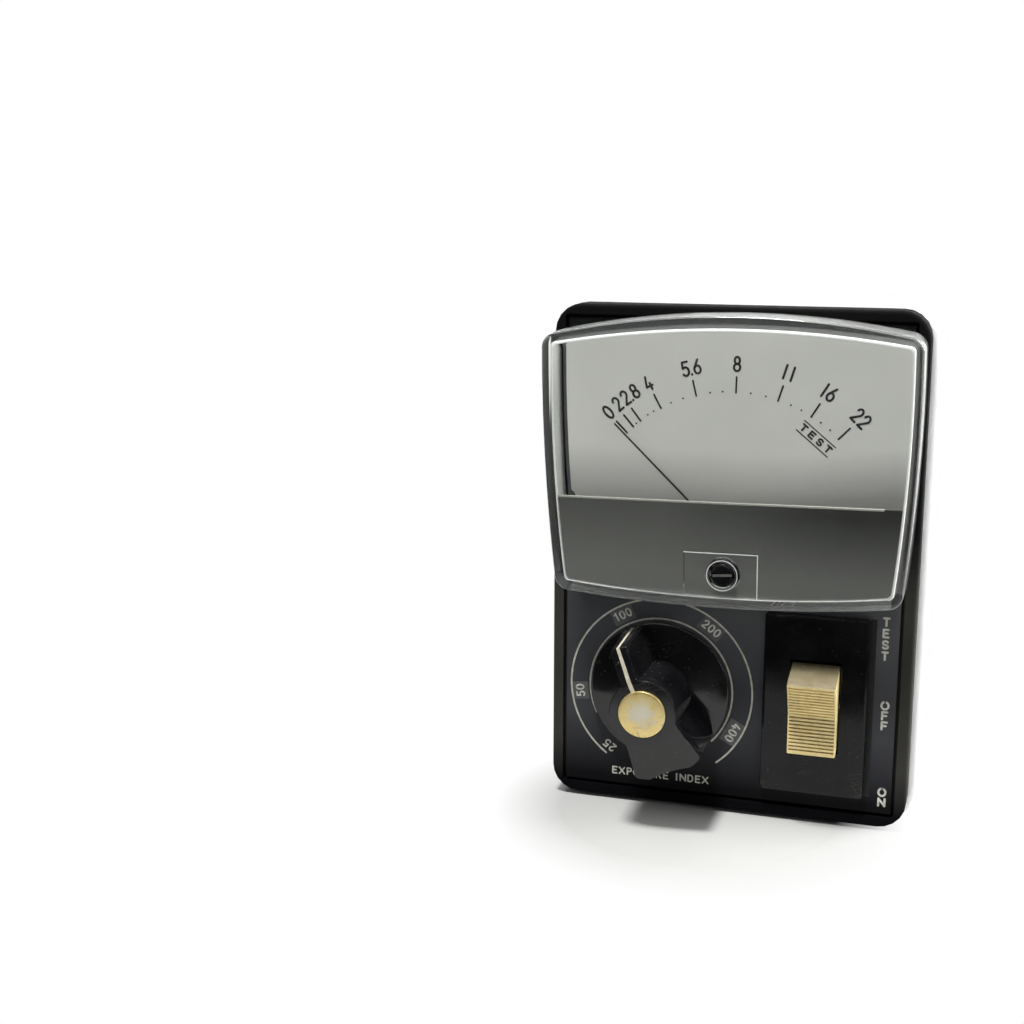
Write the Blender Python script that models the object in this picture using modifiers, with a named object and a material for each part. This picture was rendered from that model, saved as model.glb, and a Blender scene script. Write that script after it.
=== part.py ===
"""Handheld flash meter, built as the separate pieces it comes apart into.

Sizes are in millimetres and MM turns them into Blender metres. X runs to the right, Z up, and
Y back into the case, counted from the plane of the front rim. The object stands on its lower edge.
"""
import math

import bmesh
import bpy
from mathutils import Matrix, Vector

MM = 0.001
GAP = 0.3

# Case: the black front frame is a little smaller all round than the white rear shell
CASE_HEIGHT = 99.85
CASE_DEPTH = 30.0
CASE_WALL = 2.2
FRAME_HALF_WIDTH = 34.95
FRAME_LOW = 0.65
FRAME_HIGH = 99.1
FRAME_CORNER = 5.3
FRAME_DEPTH = 6.0
FRAME_FRONT_ROUND = 0.6
FRAME_WALL_BACK = 2.9
RECESS_HALF_WIDTH = 32.8
RECESS_LOW = 2.85
RECESS_HIGH = 97.15
RECESS_FLOOR = 1.4
SHELL_HALF_WIDTH = 36.4
SHELL_CORNER = 6.6
SHELL_FRONT = FRAME_DEPTH + GAP
SHELL_DRAFT = 0.1
SHELL_BACK_ROUND = 4.5
SHELL_WALL_FRONT = 27.6
PANEL_FRONT = 0.3
PANEL_BACK = 1.1
PANEL_MARGIN = 0.65

# Case screws, in the four posts
SCREW_X = 30.2
SCREW_HEIGHTS = (22.0, 91.5)
POST_RADIUS = 3.3
FRAME_POST_RADIUS = 2.7
POST_BORE = 1.6
POST_JOINT = 12.0
SCREW_HEAD_RADIUS = 2.4
SCREW_SHANK_RADIUS = 1.25
SCREW_SEAT = 28.2
SCREW_TIP = 7.0

# Meter window: corners of the outline at its base, and how far each side bows out
WINDOW_TOP_HALF = 34.75
WINDOW_TOP = 95.35
WINDOW_LOW_HALF = 32.4
WINDOW_LOW = 45.7
WINDOW_TOP_BOW = 2.85
WINDOW_SIDE_BOW = 0.78
WINDOW_LOW_BOW = 1.9
WINDOW_CORNER = 2.4
WINDOW_INNER_CORNER = 0.8
WINDOW_BASE = -0.3
WINDOW_FRONT = -9.0
WINDOW_PLATE = 1.4
WINDOW_WALL = 1.75
WINDOW_LOW_WALL = 1.5
WINDOW_TAPER = 0.25
WINDOW_EDGE_ROUND = 0.65
CAVITY_SHIFT = -0.25
METER_TURN = 0.9
METER_MIDDLE_Z = 70.5
POCKET_HALF_WIDTH = 6.9
POCKET_LOW = 46.0
POCKET_HIGH = 53.9
POCKET_DEPTH = 0.9
COLLAR_RADIUS = 3.4
COLLAR_FRONT = -8.9
COLLAR_BACK = -7.8

# Meter body and movement
PIVOT_X = 0.1
PIVOT_Z = 55.6
BARREL_Z = 64.0
BARREL_RADIUS = 17.6
BARREL_BORE = 16.3
BARREL_FLOOR = 11.2
BARREL_BACK = 12.7
FLANGE_FRONT = -1.3
DIAL_FRONT = -2.1
DIAL_BACK = -1.6
DIAL_INSET = 2.9
DIAL_LOW = 49.5
DIAL_GAP_HALF_WIDTH = 11.5
DIAL_GAP_TOP = 61.0
DIAL_SCREW_X = 26.0
DIAL_SCREW_Z = 57.5
DIAL_SCREW_BORE = 1.0
DIAL_NOTCH_X = 31.4
DIAL_NOTCH_Z = 62.9
DIAL_NOTCH_RADIUS = 1.2
NEEDLE_LENGTH = 31.0
NEEDLE_HALF_WIDTH = 0.32
NEEDLE_TIP_HALF = 0.14
NEEDLE_TAIL_HALF = 0.5
NEEDLE_TAIL = -7.2
NEEDLE_HUB_RADIUS = 2.2
NEEDLE_FRONT = -2.9
NEEDLE_BACK = -2.6
NEEDLE_REST = -46.4
YOKE_OUTER = 7.6
YOKE_INNER = 6.2
YOKE_FRONT = 2.2
YOKE_BACK = 7.8
CORE_RADIUS = 4.2
COIL_HALF_WIDTH = 5.8
COIL_WALL = 0.9
COIL_FRONT = 1.1
COIL_BACK = 8.9
BRIDGE_FRONT = -5.0
BRIDGE_BACK = -4.3
REAR_BRIDGE_FRONT = 9.9
REAR_BRIDGE_BACK = 10.6
BRIDGE_HALF_LENGTH = 7.4
BRIDGE_LEG = 1.0
BRIDGE_HALF_HEIGHT = 1.7
JEWEL_RADIUS = 1.0
MASK_FRONT = -6.7
MASK_BACK = -6.0
MASK_TOP = 63.65
MASK_TOP_HALF = 31.6
MASK_CORNER = 1.3
ADJUSTER_Z = 50.2
ADJUSTER_RADIUS = 2.2
ADJUSTER_PIN_OFFSET = 0.8
ADJUSTER_PIN_RADIUS = 0.45
STUD_X = 10.5
STUD_Z = 66.0
STUD_RADIUS = 1.6
STUD_BOSS_RADIUS = 3.0

# Exposure index control
KNOB_X = -13.0
KNOB_Z = 24.1
KNOB_REST = -23.8
SKIRT_RADIUS = 13.8
SKIRT_BACK = -0.1
SKIRT_FRONT = -2.1

# Knob grip: pairs are the size at the skirt and at the top
KNOB_TOP = -15.6
KNOB_FALL = 2.1
KNOB_DOME_START = 5.0
KNOB_REACH = 13.6
KNOB_NOSE_END = (13.5, 13.0)
KNOB_NOSE_HALF = (2.25, 1.6)
KNOB_HUB_RADIUS = (6.6, 6.4)
KNOB_HUB_END = 122.0
KNOB_WAIST = -4.8
KNOB_WAIST_HALF = (5.1, 5.3)
KNOB_TAIL_HALF = (7.05, 6.75)
KNOB_LOBE_HALF = 4.2
KNOB_NOTCH = -12.5
KNOB_EDGE_ROUND = 0.35
CAP_RADIUS = 4.5
CAP_FRONT = -16.1
SHAFT_RADIUS = 3.0
BUSH_RADIUS = 3.8
NUT_RADIUS = 5.3
POT_RADIUS = 8.2
POT_FRONT = 3.3
POT_BACK = 12.3

# Switch
SWITCH_X = 17.1
SWITCH_Z = 24.0
BEZEL_HALF_WIDTH = 9.85
BEZEL_HALF_HEIGHT = 17.75
BEZEL_FRONT = -1.2
BEZEL_OPENING_HALF_HEIGHT = 9.0
BEZEL_EDGE_ROUND = 0.5

# Rocker: its side outline is given as depth and height from the pivot, and it rests tilted to ON
ROCKER_PIVOT_Y = 1.0
ROCKER_REST = 14.0
ROCKER_HALF_WIDTH = 4.5
ROCKER_WAIST = (-5.0, 0.0)
ROCKER_CREST = (-6.6, 7.6)
ROCKER_END = ((-6.35, 7.78), (-0.2, 8.15), (0.9, 8.2), (2.2, 7.4))
ROCKER_NOSE = ((3.4, 3.0), (5.4, 1.0))
ROCKER_PIN_RADIUS = 0.7
ROCKER_ROOM_HALF_HEIGHT = 10.5
ROCKER_ROOM_BACK = 9.5
SWITCH_BODY_HALF_WIDTH = 8.4
SWITCH_BODY_HALF_HEIGHT = 14.6
SWITCH_BODY_BACK = 12.4

# Circuit board and battery
BOARD_FRONT = 15.6
BOARD_BACK = 17.2
CELL_RADIUS = 7.1
CELL_LENGTH = 49.0
CELL_Y = 19.6
CELL_Z = 11.3

LOOKS = {
    "black_moulding": ((0.018, 0.018, 0.020), 0.45, 0.0),
    "panel_print": ((0.032, 0.034, 0.044), 0.55, 0.0),
    "opal_shell": ((0.86, 0.85, 0.80), 0.40, 0.0),
    "clear_acrylic": ((0.90, 0.91, 0.92), 0.05, 0.0),
    "dial_silver": ((0.62, 0.62, 0.60), 0.40, 0.3),
    "mask_grey": ((0.10, 0.10, 0.105), 0.50, 0.0),
    "gloss_black": ((0.008, 0.008, 0.009), 0.12, 0.0),
    "needle_black": ((0.012, 0.012, 0.012), 0.50, 0.0),
    "gold_cap": ((0.80, 0.60, 0.25), 0.30, 1.0),
    "ivory": ((0.78, 0.72, 0.58), 0.40, 0.0),
    "steel": ((0.55, 0.55, 0.56), 0.30, 1.0),
    "brass": ((0.72, 0.55, 0.25), 0.30, 1.0),
    "magnet": ((0.20, 0.20, 0.21), 0.45, 1.0),
    "copper": ((0.62, 0.30, 0.16), 0.35, 1.0),
    "phenolic_board": ((0.36, 0.22, 0.09), 0.60, 0.0),
    "component": ((0.10, 0.16, 0.30), 0.45, 0.0),
    "cell_wrap": ((0.10, 0.10, 0.12), 0.40, 0.0),
}


# Scene, materials and objects

def clear_scene():
    for item in list(bpy.data.objects):
        bpy.data.objects.remove(item, do_unlink=True)


def new_collection(name):
    collection = bpy.data.collections.new(name)
    bpy.context.scene.collection.children.link(collection)
    return collection


def make_material(name):
    colour, roughness, metallic = LOOKS[name]
    material = bpy.data.materials.get(name) or bpy.data.materials.new(name)
    material.use_nodes = True
    shader = material.node_tree.nodes["Principled BSDF"]
    shader.inputs["Base Color"].default_value = (*colour, 1.0)
    shader.inputs["Roughness"].default_value = roughness
    shader.inputs["Metallic"].default_value = metallic
    return material


def case_point(x, y, z):
    """World place of a point given in the case's own millimetres."""
    return Vector((x, y - CASE_DEPTH / 2, z)) * MM


def mesh_from(bm, name):
    """Turn a bmesh in millimetres into a welded, outward-facing mesh in metres."""
    bmesh.ops.remove_doubles(bm, verts=bm.verts, dist=0.001)
    bmesh.ops.recalc_face_normals(bm, faces=bm.faces)
    bmesh.ops.scale(bm, vec=(MM, MM, MM), verts=bm.verts)
    mesh = bpy.data.meshes.new(name)
    bm.to_mesh(mesh)
    bm.free()
    mesh.shade_smooth()
    mesh.set_sharp_from_angle(angle=math.radians(32))
    return mesh


def add_part(name, bm, look, origin=(0, 0, 0), turn=0.0):
    """Add one sub-part. Its mesh is relative to origin, and turn is its rest angle about Y in degrees."""
    part = bpy.data.objects.new(name, mesh_from(bm, name))
    part.location = case_point(*origin)
    part.rotation_euler = (0, math.radians(turn), 0)
    part.data.materials.append(make_material(look))
    PARTS.objects.link(part)
    return part


def add_tool(bm, part):
    """Add a hidden solid that sits where the part's own mesh sits."""
    tool = bpy.data.objects.new(part.name + "_tool", mesh_from(bm, part.name + "_tool"))
    tool.location = part.location
    tool.rotation_euler = part.rotation_euler
    tool.hide_render = True
    tool.display_type = "WIRE"
    TOOLS.objects.link(tool)
    return tool


def combine(part, bm, operation):
    modifier = part.modifiers.new(operation.lower(), "BOOLEAN")
    modifier.object = add_tool(bm, part)
    modifier.operation = operation
    modifier.solver = "EXACT"


def cut(part, *solids):
    for bm in solids:
        combine(part, bm, "DIFFERENCE")


def join(part, *solids):
    for bm in solids:
        combine(part, bm, "UNION")


# Outlines in X and Z

def circle(radius, sides=32, x=0.0, z=0.0):
    turn = 2 * math.pi / sides
    return [(x + radius * math.cos(i * turn), z + radius * math.sin(i * turn)) for i in range(sides)]


def rectangle(left, right, low, high):
    return [(left, low), (right, low), (right, high), (left, high)]


def rounded(points, radius, steps=5):
    """Round every corner of an outline whose sides are longer than twice the radius."""
    outline = []
    for index, point in enumerate(points):
        corner = Vector(point)
        start = corner + (Vector(points[index - 1]) - corner).normalized() * radius
        end = corner + (Vector(points[(index + 1) % len(points)]) - corner).normalized() * radius
        outline += quarter(start, corner, end, steps)
    return outline


def quarter(start, corner, end, steps):
    """Points of an arc-like turn from start to end, drawn towards the corner."""
    weight = math.sqrt(0.5)
    points = []
    for step in range(steps + 1):
        t = step / steps
        a, b, c = (1 - t) ** 2, 2 * t * (1 - t) * weight, t * t
        spot = (start * a + corner * b + end * c) / (a + b + c)
        points.append((spot.x, spot.y))
    return points


def bowed_side(start, end, bow, steps=6):
    """Inner points of a side that bows outwards, to the right of its direction."""
    a, b = Vector(start), Vector(end)
    along = (b - a).normalized()
    out = Vector((along.y, -along.x))
    points = []
    for step in range(1, steps):
        t = step / steps
        spot = a.lerp(b, t) + out * (4 * bow * t * (1 - t))
        points.append((spot.x, spot.y))
    return points


def hub_arc(radius, tail_half, blade_half, steps=8):
    """Round hub of a lever, from the right side of its tail over the top to the left side.

    It leaves a gap at the top for a blade of the given half width, and none if that is zero.
    """
    start = -90 + math.degrees(math.asin(tail_half / radius))
    end = 90 - math.degrees(math.asin(blade_half / radius))
    right = []
    for step in range(steps + 1):
        angle = math.radians(start + (end - start) * step / steps)
        right.append((radius * math.cos(angle), radius * math.sin(angle)))
    left = [(-x, z) for x, z in reversed(right)]
    return right + left if blade_half else right[:-1] + left


def meter_turned(points):
    """Points of the meter, which sits turned a little anticlockwise about its middle."""
    turn = Matrix.Rotation(math.radians(METER_TURN), 2)
    middle = Vector((0, METER_MIDDLE_Z))
    spots = [turn @ (Vector(point) - middle) + middle for point in points]
    return [(spot.x, spot.y) for spot in spots]


def window_shape(inset, low):
    """The meter window's outline before it is turned, drawn in by inset, with its lower corners at low."""
    top_half = WINDOW_TOP_HALF - inset
    low_half = WINDOW_LOW_HALF - inset
    top = WINDOW_TOP - inset
    corners = [(-low_half, low), (low_half, low), (top_half, top), (-top_half, top)]
    bows = (WINDOW_LOW_BOW, WINDOW_SIDE_BOW, WINDOW_TOP_BOW, WINDOW_SIDE_BOW)
    radius = max(WINDOW_CORNER - inset, WINDOW_INNER_CORNER)
    sides = [bowed_side(corners[i], corners[(i + 1) % 4], bows[i]) for i in range(4)]
    outline = []
    for index, point in enumerate(corners):
        corner = Vector(point)
        before = Vector(sides[index - 1][-1])
        after = Vector(sides[index][0])
        start = corner + (before - corner).normalized() * radius
        end = corner + (after - corner).normalized() * radius
        outline += quarter(start, corner, end, 4)
        outline += sides[index]
    return outline


def window_outline(inset):
    return meter_turned(window_shape(inset, WINDOW_LOW + inset))


def cavity_outline(inset):
    """Outline of the space inside the meter window. inset counts from its wall at the base."""
    outline = window_shape(WINDOW_WALL + inset, WINDOW_LOW + WINDOW_LOW_WALL + inset)
    return meter_turned([(x + CAVITY_SHIFT, z) for x, z in outline])


def frame_outline(inset):
    half = FRAME_HALF_WIDTH - inset
    return rounded(rectangle(-half, half, FRAME_LOW + inset, FRAME_HIGH - inset), FRAME_CORNER - inset)


def shell_outline(inset, draft):
    half = SHELL_HALF_WIDTH - draft - inset
    return rounded(rectangle(-half, half, inset, CASE_HEIGHT - draft - inset), max(SHELL_CORNER - inset, 1.5))


# Solids

def skin(rows):
    """Closed solid through rows of points, which all have the same count."""
    bm = bmesh.new()
    loops = [[bm.verts.new(point) for point in row] for row in rows]
    bm.faces.new(loops[0])
    bm.faces.new(loops[-1][::-1])
    for near, far in zip(loops, loops[1:]):
        for i, vert in enumerate(near):
            j = (i + 1) % len(near)
            bm.faces.new((vert, far[i], far[j], near[j]))
    return bm


def loft(sections):
    """Solid through outlines of equal count, each given with its depth."""
    return skin([[(x, depth, z) for x, z in outline] for outline, depth in sections])


def rounded_rim(depth, radius, steps):
    """Inset and depth of each row of a rim that rounds over into a flat face at depth, behind the rows."""
    angles = [math.radians(90 * step / steps) for step in range(steps + 1)]
    return [(radius * (1 - math.cos(angle)), depth - radius * (1 - math.sin(angle))) for angle in angles]


def prism(outline, front, back):
    """Flat outline pushed back from one depth to another."""
    bm = bmesh.new()
    face = bm.faces.new([bm.verts.new((x, front, z)) for x, z in outline])
    pushed = bmesh.ops.extrude_face_region(bm, geom=[face])["geom"]
    moved = [item for item in pushed if isinstance(item, bmesh.types.BMVert)]
    bmesh.ops.translate(bm, vec=(0, back - front, 0), verts=moved)
    return bm


def round_edges(bm, depth, radius, segments=3):
    """Round the rim of the flat face at one depth."""
    rim = [e for e in bm.edges if all(abs(v.co.y - depth) < 0.001 for v in e.verts)]
    bmesh.ops.bevel(bm, geom=rim, offset=radius, segments=segments, profile=0.5, affect="EDGES")
    return bm


def turned(profile, steps=32):
    """Solid turned about Y from (radius, depth) points that start and end on the axis."""
    mesh = bpy.data.meshes.new("profile")
    mesh.from_pydata([(radius, 0, depth) for radius, depth in profile], pair_up(len(profile)), [])
    spinner = bpy.data.objects.new("profile", mesh)
    TOOLS.objects.link(spinner)
    screw = spinner.modifiers.new("turn", "SCREW")
    screw.steps = steps
    screw.render_steps = steps
    screw.use_merge_vertices = True
    screw.merge_threshold = 0.0001
    graph = bpy.context.evaluated_depsgraph_get()
    baked = bpy.data.meshes.new_from_object(spinner.evaluated_get(graph))
    bm = bmesh.new()
    bm.from_mesh(baked)
    bmesh.ops.transform(bm, matrix=Matrix.Rotation(math.radians(-90), 4, "X"), verts=bm.verts)
    bmesh.ops.remove_doubles(bm, verts=bm.verts, dist=0.001)
    bpy.data.objects.remove(spinner, do_unlink=True)
    return bm


def pair_up(count):
    return [(i, i + 1) for i in range(count - 1)]


def ring(outer, inner, front, back, steps=32):
    bm = turned([(0, front), (outer, front), (outer, back), (0, back)], steps)
    return bm, prism(circle(inner, steps), front - 1, back + 1)


def box(left, right, front, back, low, high):
    return prism(rectangle(left, right, low, high), front, back)


def moved(bm, x, y, z):
    bmesh.ops.translate(bm, vec=(x, y, z), verts=bm.verts)
    return bm


def lying_along_x(bm):
    """Turn a solid made about Y so that its axis runs along X, with its front towards the left."""
    bmesh.ops.rotate(bm, cent=(0, 0, 0), matrix=Matrix.Rotation(math.radians(-90), 3, "Z"), verts=bm.verts)
    return bm


def wire(points, radius):
    """Round wire along points, as one closed solid."""
    curve = bpy.data.curves.new("wire", "CURVE")
    curve.dimensions = "3D"
    curve.bevel_depth = radius
    curve.bevel_resolution = 1
    curve.use_fill_caps = True
    spline = curve.splines.new("POLY")
    spline.points.add(len(points) - 1)
    for spot, point in zip(spline.points, points):
        spot.co = (*point, 1)
    strand = bpy.data.objects.new("wire", curve)
    TOOLS.objects.link(strand)
    graph = bpy.context.evaluated_depsgraph_get()
    bm = bmesh.new()
    bm.from_mesh(bpy.data.meshes.new_from_object(strand.evaluated_get(graph)))
    bmesh.ops.remove_doubles(bm, verts=bm.verts, dist=0.001)
    bpy.data.objects.remove(strand, do_unlink=True)
    return bm


# Case

def screw_places():
    return [(side * SCREW_X, height) for height in SCREW_HEIGHTS for side in (-1, 1)]


def switch_opening(margin, front, back):
    left = SWITCH_X - SWITCH_BODY_HALF_WIDTH - margin
    right = SWITCH_X + SWITCH_BODY_HALF_WIDTH + margin
    low = SWITCH_Z - SWITCH_BODY_HALF_HEIGHT - margin
    high = SWITCH_Z + SWITCH_BODY_HALF_HEIGHT + margin
    return box(left, right, front, back, low, high)


def make_front_frame():
    solid = prism(frame_outline(0), 0, FRAME_DEPTH)
    frame = add_part("front_frame", round_edges(solid, 0, FRAME_FRONT_ROUND), "black_moulding")
    cut(frame, prism(frame_outline(CASE_WALL), FRAME_WALL_BACK, FRAME_DEPTH + 1))
    recess = rounded(rectangle(-RECESS_HALF_WIDTH, RECESS_HALF_WIDTH, RECESS_LOW, RECESS_HIGH), 0.6, 2)
    cut(frame, prism(recess, -1, RECESS_FLOOR))
    for x, z in screw_places():
        join(frame, prism(circle(FRAME_POST_RADIUS, 20, x, z), FRAME_WALL_BACK - 0.5, POST_JOINT - GAP))
        cut(frame, prism(circle(POST_BORE, 12, x, z), FRAME_DEPTH, POST_JOINT + 1))
    cut(frame, prism(circle(BARREL_RADIUS + GAP, 40, 0, BARREL_Z), 0, FRAME_DEPTH))
    cut(frame, prism(circle(BUSH_RADIUS + GAP, 24, KNOB_X, KNOB_Z), 0, FRAME_DEPTH))
    cut(frame, switch_opening(GAP, 0, FRAME_DEPTH))


def make_panel_plate():
    half = RECESS_HALF_WIDTH - PANEL_MARGIN
    outline = rectangle(-half, half, RECESS_LOW + PANEL_MARGIN, RECESS_HIGH - PANEL_MARGIN)
    plate = add_part("panel_plate", prism(outline, PANEL_FRONT, PANEL_BACK), "panel_print")
    cut(plate, prism(circle(BARREL_RADIUS + GAP, 40, 0, BARREL_Z), -1, 2))
    cut(plate, prism(circle(BUSH_RADIUS + GAP, 24, KNOB_X, KNOB_Z), -1, 2))
    cut(plate, switch_opening(GAP, -1, 2))


def shell_form(inset, front, back, steps):
    """Outer form of the rear shell, or its inner pocket where inset is the wall."""
    rows = [(shell_outline(inset, 0), front)]
    for shrink, depth in rounded_rim(back, SHELL_BACK_ROUND - inset, steps):
        rows.append((shell_outline(inset + shrink, SHELL_DRAFT), depth))
    return loft(rows)


def make_rear_shell():
    shell = add_part("rear_shell", shell_form(0, SHELL_FRONT, CASE_DEPTH, 6), "opal_shell")
    cut(shell, shell_form(CASE_WALL, SHELL_FRONT - 1, SHELL_WALL_FRONT, 4))
    for x, z in screw_places():
        join(shell, prism(circle(POST_RADIUS, 20, x, z), POST_JOINT, SHELL_WALL_FRONT + 0.5))
        cut(shell, prism(circle(POST_BORE, 12, x, z), POST_JOINT - 1, CASE_DEPTH + 1))
        cut(shell, prism(circle(SCREW_HEAD_RADIUS + GAP, 20, x, z), SCREW_SEAT - GAP, CASE_DEPTH + 1))


def make_case_screws():
    profile = [(0, CASE_DEPTH - 0.3), (1.6, CASE_DEPTH - 0.4), (SCREW_HEAD_RADIUS, CASE_DEPTH - 0.9),
               (SCREW_HEAD_RADIUS, SCREW_SEAT), (SCREW_SHANK_RADIUS, SCREW_SEAT),
               (SCREW_SHANK_RADIUS, SCREW_TIP + 0.8), (0, SCREW_TIP)]
    for number, (x, z) in enumerate(screw_places(), 1):
        screw = add_part(f"case_screw_{number}", turned(profile, 16), "steel", (x, 0, z))
        cut(screw, box(-4, 4, CASE_DEPTH - 1.0, CASE_DEPTH + 1, -0.3, 0.3))


# Meter

def make_meter_cover():
    solid = loft([(window_outline(WINDOW_TAPER), WINDOW_FRONT), (window_outline(0), WINDOW_BASE)])
    cover = add_part("meter_cover", round_edges(solid, WINDOW_FRONT, WINDOW_EDGE_ROUND), "clear_acrylic")
    inner_front = (cavity_outline(WINDOW_TAPER), WINDOW_FRONT + WINDOW_PLATE)
    cut(cover, loft([inner_front, (cavity_outline(0), WINDOW_BASE + 1)]))
    pocket = meter_turned(rectangle(-POCKET_HALF_WIDTH, POCKET_HALF_WIDTH, POCKET_LOW, POCKET_HIGH))
    cut(cover, prism(pocket, WINDOW_FRONT - 1, WINDOW_FRONT + POCKET_DEPTH))
    join(cover, prism(circle(COLLAR_RADIUS, 24, PIVOT_X, ADJUSTER_Z), COLLAR_FRONT, COLLAR_BACK))
    cut(cover, prism(circle(ADJUSTER_RADIUS + GAP, 24, PIVOT_X, ADJUSTER_Z), WINDOW_FRONT - 1, -6))


def dial_screw_places():
    return [(-DIAL_SCREW_X, DIAL_SCREW_Z), (DIAL_SCREW_X, DIAL_SCREW_Z)]


def make_meter_body():
    flange = prism(cavity_outline(WINDOW_TAPER + GAP), FLANGE_FRONT, WINDOW_BASE)
    body = add_part("meter_body", flange, "black_moulding")
    join(body, prism(circle(BARREL_RADIUS, 40, 0, BARREL_Z), FLANGE_FRONT + 0.4, BARREL_BACK))
    for side in (-1, 1):
        boss = circle(STUD_BOSS_RADIUS, 20, side * STUD_X, STUD_Z)
        join(body, prism(boss, BARREL_BACK - 0.5, BOARD_FRONT - GAP))
        cut(body, prism(circle(STUD_RADIUS + GAP, 12, side * STUD_X, STUD_Z), BARREL_BACK, BOARD_FRONT))
    cut(body, prism(circle(BARREL_BORE, 40, 0, BARREL_Z), FLANGE_FRONT - 1, BARREL_FLOOR))
    for x, z in dial_screw_places():
        cut(body, prism(circle(DIAL_SCREW_BORE, 12, x, z), FLANGE_FRONT - 1, 0.5))


def make_dial():
    outline = meter_turned(window_shape(DIAL_INSET, DIAL_LOW))
    dial = add_part("dial_plate", prism(outline, DIAL_FRONT, DIAL_BACK), "dial_silver")
    cut(dial, box(-DIAL_GAP_HALF_WIDTH, DIAL_GAP_HALF_WIDTH, -4, 0, 40, DIAL_GAP_TOP))
    for side in (-1, 1):
        notch = meter_turned(circle(DIAL_NOTCH_RADIUS, 16, side * DIAL_NOTCH_X, DIAL_NOTCH_Z))
        cut(dial, prism(notch, -4, 0))
    head = [(0, -3.2), (1.2, -3.1), (1.6, -2.8), (1.6, -2.4), (0.7, -2.4), (0.7, 0.0), (0, 0.0)]
    for (x, z), name in zip(dial_screw_places(), ("left", "right")):
        cut(dial, prism(circle(DIAL_SCREW_BORE, 12, x, z), -4, 0))
        add_part(f"dial_screw_{name}", turned(head, 16), "brass", (x, 0, z))


def make_dial_mask():
    """Cover plate low on the dial: the window's inner outline, cut off at the top with round corners."""
    plate = prism(cavity_outline(WINDOW_TAPER + GAP), MASK_FRONT, MASK_BACK)
    mask = add_part("dial_mask", plate, "mask_grey")
    left, right = CAVITY_SHIFT - MASK_TOP_HALF, CAVITY_SHIFT + MASK_TOP_HALF
    keep = meter_turned(rounded(rectangle(left, right, 0.0, MASK_TOP), MASK_CORNER, 3))
    combine(mask, prism(keep, MASK_FRONT - 1, MASK_BACK + 1), "INTERSECT")
    cut(mask, prism(circle(ADJUSTER_RADIUS + 0.5, 24, PIVOT_X, ADJUSTER_Z), -9, -4))


def make_zero_adjuster():
    profile = [(0, -8.75), (1.8, -8.75), (ADJUSTER_RADIUS, -8.45), (ADJUSTER_RADIUS, -5.6), (0, -5.6)]
    place = (PIVOT_X, 0, ADJUSTER_Z)
    screw = add_part("zero_adjust_screw", turned(profile, 24), "gloss_black", place)
    join(screw, prism(circle(ADJUSTER_PIN_RADIUS, 12, 0, ADJUSTER_PIN_OFFSET), -5.9, -3.3))
    cut(screw, box(-3, 3, -9.5, -8.0, -0.35, 0.35))
    reach = PIVOT_Z - ADJUSTER_Z
    slot = ADJUSTER_PIN_RADIUS + GAP
    slot_top = -reach + ADJUSTER_PIN_OFFSET + slot + 0.35
    fork = [(-1.7, -reach), (-slot, -reach), (-slot, slot_top), (slot, slot_top), (slot, -reach),
            (1.7, -reach)]
    outline = fork + hub_arc(2.6, 1.7, 0.0)
    arm = add_part("zero_set_arm", prism(outline, -3.8, -3.4), "brass", (PIVOT_X, 0, PIVOT_Z))
    cut(arm, prism(circle(JEWEL_RADIUS + GAP, 20), -5, -2))


def make_pointer():
    pivot = (PIVOT_X, 0, PIVOT_Z)
    hub = hub_arc(NEEDLE_HUB_RADIUS, NEEDLE_TAIL_HALF, NEEDLE_HALF_WIDTH)
    half = len(hub) // 2
    tip = [(NEEDLE_TIP_HALF, NEEDLE_LENGTH), (-NEEDLE_TIP_HALF, NEEDLE_LENGTH)]
    tail = [(-NEEDLE_TAIL_HALF, NEEDLE_TAIL), (NEEDLE_TAIL_HALF, NEEDLE_TAIL)]
    outline = tail + hub[:half] + tip + hub[half:]
    blade = prism(outline, NEEDLE_FRONT, NEEDLE_BACK)
    needle = add_part("pointer_needle", blade, "needle_black", pivot, NEEDLE_REST)
    cut(needle, prism(circle(0.7 + GAP, 16), -4, 0))
    weight = rounded(rectangle(-1.5, 1.5, -7.2, -4.6), 0.5, 2)
    add_part("pointer_counterweight", prism(weight, -2.3, -1.5), "brass", pivot, NEEDLE_REST)
    front = [(0, -3.15), (0.25, -2.95), (0.7, -2.95), (0.7, 0.8), (0, 0.8)]
    add_part("front_pivot", turned(front, 12), "steel", pivot, NEEDLE_REST)
    rear = [(0, 9.2), (0.7, 9.2), (0.7, 9.5), (0, 9.7)]
    add_part("rear_pivot", turned(rear, 12), "steel", pivot, NEEDLE_REST)
    former = box(-COIL_HALF_WIDTH, COIL_HALF_WIDTH, COIL_FRONT, COIL_BACK, -0.8, 0.8)
    coil = add_part("moving_coil", former, "copper", pivot, NEEDLE_REST)
    inner = COIL_HALF_WIDTH - COIL_WALL
    cut(coil, box(-inner, inner, COIL_FRONT + COIL_WALL, COIL_BACK - COIL_WALL, -3, 3))
    turns = 3.0
    count = 54
    spiral = []
    for step in range(count + 1):
        angle = 2 * math.pi * turns * step / count
        radius = 1.3 + 2.9 * step / count
        spiral.append((radius * math.cos(angle), 0.2, radius * math.sin(angle)))
    add_part("front_hairspring", wire(spiral, 0.14), "brass", pivot, NEEDLE_REST)


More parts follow.
